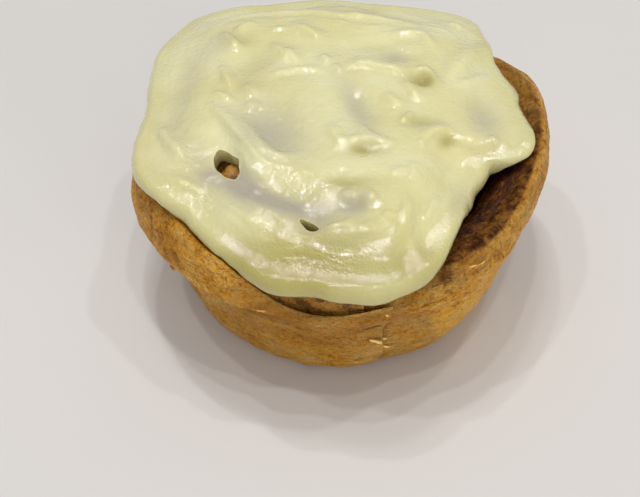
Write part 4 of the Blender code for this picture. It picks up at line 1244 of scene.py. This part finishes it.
class Finish:
    """A material's nodes, added one at a time around its Principled shader."""

    def __init__(self, name, **constants):
        self.material = bpy.data.materials.new(name)
        self.material.use_nodes = True
        self.tree = self.material.node_tree
        self.surface = self.tree.nodes["Principled BSDF"]
        for key, value in constants.items():
            self.surface.inputs[key.replace("_", " ")].default_value = value

    def add(self, kind, settings=None, **inputs):
        made = self.tree.nodes.new("ShaderNode" + kind)
        for key, value in (settings or {}).items():
            setattr(made, key, value)
        for key, value in inputs.items():
            self.put(made.inputs[int(key[1:]) if key[0] == "_" else key.replace("_", " ")], value)
        return made

    def put(self, socket, value):
        if isinstance(value, bpy.types.NodeSocket):
            self.tree.links.new(value, socket)
        else:
            socket.default_value = value

    def place(self, kind, scale=(1, 1, 1)):
        """Coordinates of one kind, Object or UV, stretched by a scale."""
        coordinates = self.add("TexCoord")
        return self.add("Mapping", Vector=coordinates.outputs[kind], Scale=scale).outputs[0]

    def cloud(self, place, scale, detail, roughness, distortion=0.0):
        return self.add("TexNoise", Vector=place, Scale=scale, Detail=detail, Roughness=roughness,
                        Distortion=distortion).outputs[0]

    def cells(self, place, scale):
        return self.add("TexVoronoi", {"feature": "F1"}, Vector=place, Scale=scale).outputs[0]

    def mark(self, name):
        return self.add("Attribute", {"attribute_name": name}).outputs["Fac"]

    def sums(self, kind, a, b, clamp=False):
        return self.add("Math", {"operation": kind, "use_clamp": clamp}, _0=a, _1=b).outputs[0]

    def times(self, a, b, clamp=False):
        return self.sums("MULTIPLY", a, b, clamp)

    def weighed(self, *parts):
        """Sum of values, each times its weight."""
        products = [self.times(value, weight) for value, weight in parts]
        return functools.reduce(lambda a, b: self.sums("ADD", a, b), products)

    def remap(self, value, low, high, to_low=0.0, to_high=1.0):
        return self.add("MapRange", {"interpolation_type": "SMOOTHSTEP"}, Value=value, From_Min=low,
                        From_Max=high, To_Min=to_low, To_Max=to_high).outputs[0]

    def mix(self, share, a, b):
        made = self.add("Mix", {"data_type": "RGBA"}, _0=share)
        for k, value in ((6, a), (7, b)):
            self.put(made.inputs[k], value if isinstance(value, bpy.types.NodeSocket) else (*value, 1))
        return made.outputs[2]

    def ramp(self, value, stops):
        """Colour by a value, from (position, colour) stops: both ends first, then those between."""
        made = self.add("ValToRGB", Fac=value)
        steps = made.color_ramp.elements
        for k, (at, shade) in enumerate(stops):
            step = steps[k] if k < 2 else steps.new(at)
            step.position, step.color = at, (*shade, 1)
        return made.outputs[0]

    def relief(self, *layers):
        """Bump from (height, distance) layers, one on top of the other."""
        normal = None
        for height, distance in layers:
            made = self.add("Bump", Height=height, Distance=distance, Strength=1.0)
            if normal is not None:
                self.put(made.inputs["Normal"], normal)
            normal = made.outputs[0]
        self.put(self.surface.inputs["Normal"], normal)


def crust_finish(colours):
    """Baked crust: mottled golden and brown, a little drawn out along the strip, with browned patches,
    painted shade in its hollows, pores, under the swollen band and under the icing's edge, dull and pale
    patches, painted highlights on crags and the rim's crest, and cinnamon stains."""
    made = Finish("baked_crust", Roughness=0.5, IOR=1.44, Specular_IOR_Level=0.2)
    solid = made.place("Object")
    drawn = made.cloud(made.place("UV", CRUST_DRAWN_STRETCH), *CRUST_DRAWN)
    mottled = made.cloud(solid, *CRUST_MOTTLED)
    cloudy = made.cloud(solid, *CRUST_CLOUDY)
    specks = made.cloud(solid, *CRUST_SPECKS)
    pores = made.remap(made.cells(solid, CRUST_PORES), 0.12, 0.30, 1.0, 0.0)
    blend = made.weighed((drawn, 0.12), (mottled, 0.28), (cloudy, 0.28), (specks, 0.32))
    tint = made.ramp(blend, ((0.395, colours.crust_dark), (0.58, colours.crust_pale),
                             (0.44, colours.crust_brown), (0.48, colours.crust_mid),
                             (0.52, colours.crust_light)))
    gold = made.ramp(blend, ((0.405, colours.crust_brown), (0.57, colours.crust_pale),
                             (0.465, colours.crust_gold)))
    tint = made.mix(made.mark("golden"), tint, gold)
    for mark, cloud, low, high, least, most, shade in (
        ("greyish", mottled, 0.35, 0.6, 0.35, 0.8, colours.crust_grey),
        # Pale torn edges, with painted highlights on crags and the rim's crest.
        ("pale", drawn, 0.3, 0.6, 0.35, 0.85, colours.crust_pale),
        # Browned crust and painted shade in hollows, under the swollen band and beside the loose end.
        ("toast_and_shade", mottled, 0.3, 0.62, 0.45, 1.0, colours.crust_dark),
    ):
        share = made.times(made.mark(mark), made.remap(cloud, low, high, least, most), True)
        tint = made.mix(share, tint, shade)
    # Painted shade in the pores.
    tint = made.mix(made.times(pores, 0.2), tint, colours.crust_dark)
    flaked = made.cloud(made.place("UV", CRUST_FLAKED_STRETCH), *CRUST_FLAKED)
    for level, strength, shade in ((0.5, 0.6, colours.crust_dark), (0.525, 0.7, colours.crust_pale),
                                   (0.42, 0.5, colours.crust_dark), (0.44, 0.6, colours.crust_pale)):
        off = made.sums("ABSOLUTE", made.sums("SUBTRACT", flaked, level), 0.0)
        line = made.remap(off, 0.0, 0.016, 1.0, 0.0)
        share = made.times(line, made.remap(cloudy, 0.42, 0.55, 0.0, strength))
        tint = made.mix(share, tint, shade)
    stained = made.times(made.mark("cinnamon"), made.remap(mottled, 0.36, 0.58, 1.0, 0.85), True)
    cinnamon = made.ramp(mottled, ((0.34, colours.filling_dark), (0.66, colours.filling_light),
                                   (0.48, colours.filling_mid)))
    tint = made.mix(stained, tint, cinnamon)
    # Painted shade under the icing's edge.
    tint = made.mix(made.times(made.mark("shaded"), 0.4), tint, colours.crust_dark)
    made.put(made.surface.inputs["Base Color"], tint)
    made.put(made.surface.inputs["Roughness"], made.remap(blend, 0.42, 0.58, 0.62, 0.36))
    made.relief((drawn, 0.0004), (flaked, 0.0022), (mottled, 0.0009), (specks, 0.0005),
                (made.times(pores, -1.0), 0.00018))
    return made.material


def filling_finish(colours):
    """Sticky cinnamon: near-black hollows, brown crumb and a wet gloss with sugary grains."""
    made = Finish("cinnamon_filling", Roughness=0.42, IOR=1.45, Coat_Weight=0.25, Coat_Roughness=0.2)
    solid = made.place("Object")
    cloudy = made.cloud(solid, *FILLING_CLOUDY)
    grains = made.cloud(solid, *FILLING_GRAINS)
    blend = made.weighed((cloudy, 0.62), (grains, 0.38))
    tint = made.ramp(blend, ((0.38, colours.filling_dark), (0.64, colours.filling_light),
                             (0.50, colours.filling_mid)))
    tint = made.mix(made.times(made.mark("toffee"), made.remap(cloudy, 0.4, 0.56, 0.3, 1.0)),
                    tint, colours.filling_toffee)
    made.put(made.surface.inputs["Base Color"], tint)
    made.put(made.surface.inputs["Roughness"], made.remap(grains, 0.35, 0.65, 0.6, 0.3))
    made.relief((cloudy, 0.0012), (grains, 0.0006))
    return made.material


def icing_finish(colours):
    """Glossy spread: pale yellow and slightly see-through, greyer where it is thin, deeper yellow in its
    folds and thick places, darker as painted shade on the front slope, the lower edge and in hollows,
    with a fine grain that breaks up its shine."""
    made = Finish("soft_icing", Roughness=0.26, IOR=1.46, Subsurface_Weight=0.3,
                  Subsurface_Radius=(1.0, 0.85, 0.4), Subsurface_Scale=0.003, Coat_Weight=0.9,
                  Coat_Roughness=0.05)
    solid = made.place("Object")
    broad = made.cloud(solid, *ICING_BROAD)
    grain = made.cloud(solid, *ICING_GRAIN)
    fine = made.cloud(solid, *ICING_FINE)
    tint = made.mix(made.remap(broad, 0.35, 0.65), colours.icing_yellow, colours.icing_light)
    # Deeper yellow in folds, with painted shade on the front slope, the lower edge and in hollows.
    tint = made.mix(made.times(made.mark("deep"), 0.8), tint, colours.icing_deep_and_shade)
    tint = made.mix(made.times(made.mark("thin"), 0.85, True), tint, colours.icing_thin)
    made.put(made.surface.inputs["Base Color"], tint)
    made.put(made.surface.inputs["Roughness"], made.remap(grain, 0.3, 0.7, 0.06, 0.11))
    made.relief((grain, 0.00024), (fine, 0.00006))
    made.put(made.surface.inputs["Coat Normal"], made.surface.inputs["Normal"].links[0].from_socket)
    return made.material


def flake_finish(colours):
    """Dry flakes: pale straw to brown, by each flake's lightness and a cloud of noise."""
    made = Finish("crust_flakes", Roughness=0.6, IOR=1.4)
    cloudy = made.cloud(made.place("Object"), *FLAKE_CLOUDY)
    shade = made.times(made.mark("light"), made.remap(cloudy, 0.3, 0.7, 0.55, 1.0))
    tint = made.ramp(shade, ((0.05, colours.crust_brown), (0.40, colours.crust_pale),
                             (0.20, colours.crust_mid)))
    made.put(made.surface.inputs["Base Color"], tint)
    made.relief((cloudy, 0.0002))
    return made.material


def floor_finish(shade):
    """Plain matt floor with a barely visible unevenness."""
    made = Finish("plain_floor", Roughness=0.6)
    cloudy = made.cloud(made.place("Object"), *FLOOR_CLOUDY)
    made.put(made.surface.inputs["Base Color"],
             made.mix(made.remap(cloudy, 0.4, 0.6), shade, tuple(0.97 * c for c in shade)))
    return made.material


# ---------------------------------------------------------------- properties

class CinnamonRollColours(bpy.types.PropertyGroup):
    """Colours of the dough, the filling and the icing."""
    crust_light: colour("Light crust", "Lighter mottling of the crust", 250, 182, 68)
    crust_gold: colour("Golden crust", "Crust low on the side wall", 250, 182, 56)
    crust_mid: colour("Crust", "Most of the crust", 230, 158, 46)
    crust_brown: colour("Brown crust", "Darker mottling of the crust", 188, 120, 28)
    # Also the colour of painted shade in hollows and pores, under the swollen band, beside the loose end
    # and under the icing's edge.
    crust_dark: colour("Toasted crust", "Hollows and pores of the crust", 120, 64, 12)
    crust_grey: colour("Dull crust", "Dull patches by the loose end", 202, 142, 56)
    crust_pale: colour("Pale crust", "Torn edges and flakes", 252, 204, 112)
    filling_light: colour("Light filling", "Crumb in the filling", 150, 92, 36)
    filling_mid: colour("Filling", "Most of the cinnamon filling", 84, 40, 10)
    filling_dark: colour("Dark filling", "Hollows in the filling", 30, 9, 2)
    filling_toffee: colour("Toffee", "Caramelised filling by the loose end", 204, 146, 58)
    icing_light: colour("Light icing", "Lightest icing", 234, 228, 176)
    icing_yellow: colour("Icing", "Most of the icing", 227, 219, 159)
    # Also the colour of the painted shade on the icing's front slope, lower edge and hollows.
    icing_deep_and_shade: colour("Deep icing", "Folds and thick places", 166, 153, 66)
    icing_thin: colour("Thin icing", "Thin places over the grooves", 174, 164, 150)


class CinnamonRollSizes(bpy.types.PropertyGroup):
    """Depths of the crust's and the icing's relief."""
    fibre_depth: depth("Fibre depth", "Relief of the fibres along the crust", 0.12)
    crumple_depth: depth("Crumple depth", "Relief of the crumpled crust", 0.52)
    pore_depth: depth("Pore depth", "Depth of the pores in the swollen band", 0.45)
    grain_depth: depth("Filling grain", "Relief of the filling", 0.5)
    lump_depth: depth("Icing lumps", "Height of the icing's soft lumps", 0.30)
    streak_depth: depth("Icing streaks", "Height of the fine parallel streaks", 0.2)
    ridge_share: FloatProperty(name="Spoon ridges", description="Height of the spoon ridges, as a share",
                               min=0, max=2, default=1.2, subtype="FACTOR")


class CinnamonRollStage(bpy.types.PropertyGroup):
    """Floor and lights."""
    floor: colour("Floor", "Plain floor", 226, 222, 217)
    sky: colour("Soft light", "Colour of the light from all round", 235, 236, 240)
    sky_strength: FloatProperty(name="Soft light strength", description="Light from all round", min=0,
                                max=5, default=0.45)
    key_power: FloatProperty(name="Overhead light", description="Soft light above the roll", min=0,
                             max=500, default=2.0, unit="POWER")
    glint_power: FloatProperty(name="Glint lights", description="Small lights that shine on ridges",
                               min=0, max=100, default=0.8, unit="POWER")
    glint_count: IntProperty(name="Glint count", description="Number of small lights",
                             min=0, max=5, default=5)


# ---------------------------------------------------------------- operators

class CINNAMONROLL_OT_add_dough(bpy.types.Operator):
    """Add the rolled dough with its baked crust"""
    bl_idname = "cinnamon_roll.add_dough"
    bl_label = "Add dough"

    def execute(self, context):
        scene = context.scene
        points, faces, uv, marks = dough_surface(scene.cinnamon_roll_sizes)
        new_piece("baked_dough", points, faces, crust_finish(scene.cinnamon_roll_colours),
                  "dough", uv, marks)
        return {"FINISHED"}


class CINNAMONROLL_OT_add_filling(bpy.types.Operator):
    """Add the cinnamon filling between the turns"""
    bl_idname = "cinnamon_roll.add_filling"
    bl_label = "Add filling"

    def execute(self, context):
        scene = context.scene
        points, faces, marks = filling_surface(scene.cinnamon_roll_sizes)
        new_piece("cinnamon_layer", points, faces, filling_finish(scene.cinnamon_roll_colours),
                  "filling", marks=marks)
        return {"FINISHED"}


class CINNAMONROLL_OT_add_crumbs(bpy.types.Operator):
    """Add the crumbs of filling under the breaks in the icing"""
    bl_idname = "cinnamon_roll.add_crumbs"
    bl_label = "Add crumbs"

    def execute(self, context):
        points, faces, marks = crumb_surface()
        new_piece("filling_crumbs", points, faces, bpy.data.materials["cinnamon_filling"],
                  marks=marks)
        return {"FINISHED"}


class CINNAMONROLL_OT_add_icing(bpy.types.Operator):
    """Add the spooned icing with its ridges and breaks"""
    bl_idname = "cinnamon_roll.add_icing"
    bl_label = "Add icing"

    def execute(self, context):
        scene = context.scene
        points, faces, marks = icing_surface(scene.cinnamon_roll_sizes)
        piece = new_piece("spread_icing", points, faces, icing_finish(scene.cinnamon_roll_colours),
                          "icing", marks=marks)
        break_through(piece)
        return {"FINISHED"}


class CINNAMONROLL_OT_add_flakes(bpy.types.Operator):
    """Add the curled flakes of crust"""
    bl_idname = "cinnamon_roll.add_flakes"
    bl_label = "Add flakes"

    def execute(self, context):
        points, faces, marks = all_flakes()
        new_piece("crust_flakes", points, faces, flake_finish(context.scene.cinnamon_roll_colours),
                  marks=marks)
        return {"FINISHED"}


class CINNAMONROLL_OT_add_stage(bpy.types.Operator):
    """Add the plain floor, the soft lights and the camera"""
    bl_idname = "cinnamon_roll.add_stage"
    bl_label = "Add stage"

    def execute(self, context):
        scene, stage = context.scene, context.scene.cinnamon_roll_stage
        corners = np.array([(-1, -1, 0), (1, -1, 0), (1, 1, 0), (-1, 1, 0)]) * FLOOR_REACH
        mesh = bpy.data.meshes.new("floor")
        mesh.from_pydata(corners.tolist(), [], [(0, 1, 2, 3)])
        mesh.materials.append(floor_finish(tuple(stage.floor)))
        floor = linked("floor", mesh)
        for name, place, size, share, mirrored in LIGHTS:
            light_up(name, place, size, stage.key_power * share, mirrored)
        for k, place in enumerate(GLINT_PLACES[:stage.glint_count]):
            light_up(f"glint_{k + 1}", place, GLINT_SIZE, stage.glint_power, True)
        world = bpy.data.worlds.new("soft_light")
        world.use_nodes = True
        sky = world.node_tree.nodes["Background"]
        sky.inputs["Color"].default_value = (*stage.sky, 1)
        sky.inputs["Strength"].default_value = stage.sky_strength
        scene.world = world
        scene.view_settings.view_transform = "Standard"
        add_camera(scene)
        return {"FINISHED"}


def aimed(made, place):
    """Puts a lamp or a camera at a place, turned towards the origin with its top up."""
    x, y, z = place
    made.location = place
    made.rotation_euler = (math.atan2(math.hypot(x, y), z), 0, math.atan2(x, -y))


def light_up(name, place, size, power, mirrored):
    """A square soft light aimed at the roll, which its shiny parts may or may not mirror."""
    lamp = bpy.data.lights.new(name, "AREA")
    lamp.size, lamp.energy = size, power
    made = linked(name, lamp)
    made.visible_glossy = mirrored
    aimed(made, place)


def add_camera(scene):
    lens = bpy.data.cameras.new("camera")
    lens.lens, lens.sensor_width = CAMERA_LENS, CAMERA_SENSOR
    lens.shift_x, lens.shift_y = CAMERA_SHIFT
    lens.clip_start = 0.01
    scene.camera = linked("camera", lens)
    aimed(scene.camera, CAMERA_PLACE)


class CINNAMONROLL_PT_sidebar(bpy.types.Panel):
    """Buttons and settings in the sidebar"""
    bl_idname = "CINNAMONROLL_PT_sidebar"
    bl_label = "Cinnamon Roll"
    bl_space_type = "VIEW_3D"
    bl_region_type = "UI"
    bl_category = "Cinnamon Roll"

    def draw(self, context):
        for operator in OPERATORS:
            self.layout.operator(operator.bl_idname)
        for key in SETTINGS:
            group = getattr(context.scene, key)
            box = self.layout.box()
            for name in group.__annotations__:
                box.prop(group, name)


OPERATORS = (
    CINNAMONROLL_OT_add_dough, CINNAMONROLL_OT_add_filling, CINNAMONROLL_OT_add_crumbs,
    CINNAMONROLL_OT_add_icing, CINNAMONROLL_OT_add_flakes, CINNAMONROLL_OT_add_stage,
)
SETTINGS = {
    "cinnamon_roll_colours": CinnamonRollColours,
    "cinnamon_roll_sizes": CinnamonRollSizes,
    "cinnamon_roll_stage": CinnamonRollStage,
}


def register():
    for kind in (*SETTINGS.values(), *OPERATORS, CINNAMONROLL_PT_sidebar):
        bpy.utils.register_class(kind)
    for key, kind in SETTINGS.items():
        setattr(bpy.types.Scene, key, PointerProperty(type=kind))


def unregister():
    for key in SETTINGS:
        delattr(bpy.types.Scene, key)
    for kind in (CINNAMONROLL_PT_sidebar, *OPERATORS, *SETTINGS.values()):
        bpy.utils.unregister_class(kind)


def main():
    register()
    bpy.ops.cinnamon_roll.add_dough()
    bpy.ops.cinnamon_roll.add_filling()
    bpy.ops.cinnamon_roll.add_crumbs()
    bpy.ops.cinnamon_roll.add_icing()
    bpy.ops.cinnamon_roll.add_flakes()
    bpy.ops.cinnamon_roll.add_stage()


if __name__ == "__main__":
    main()
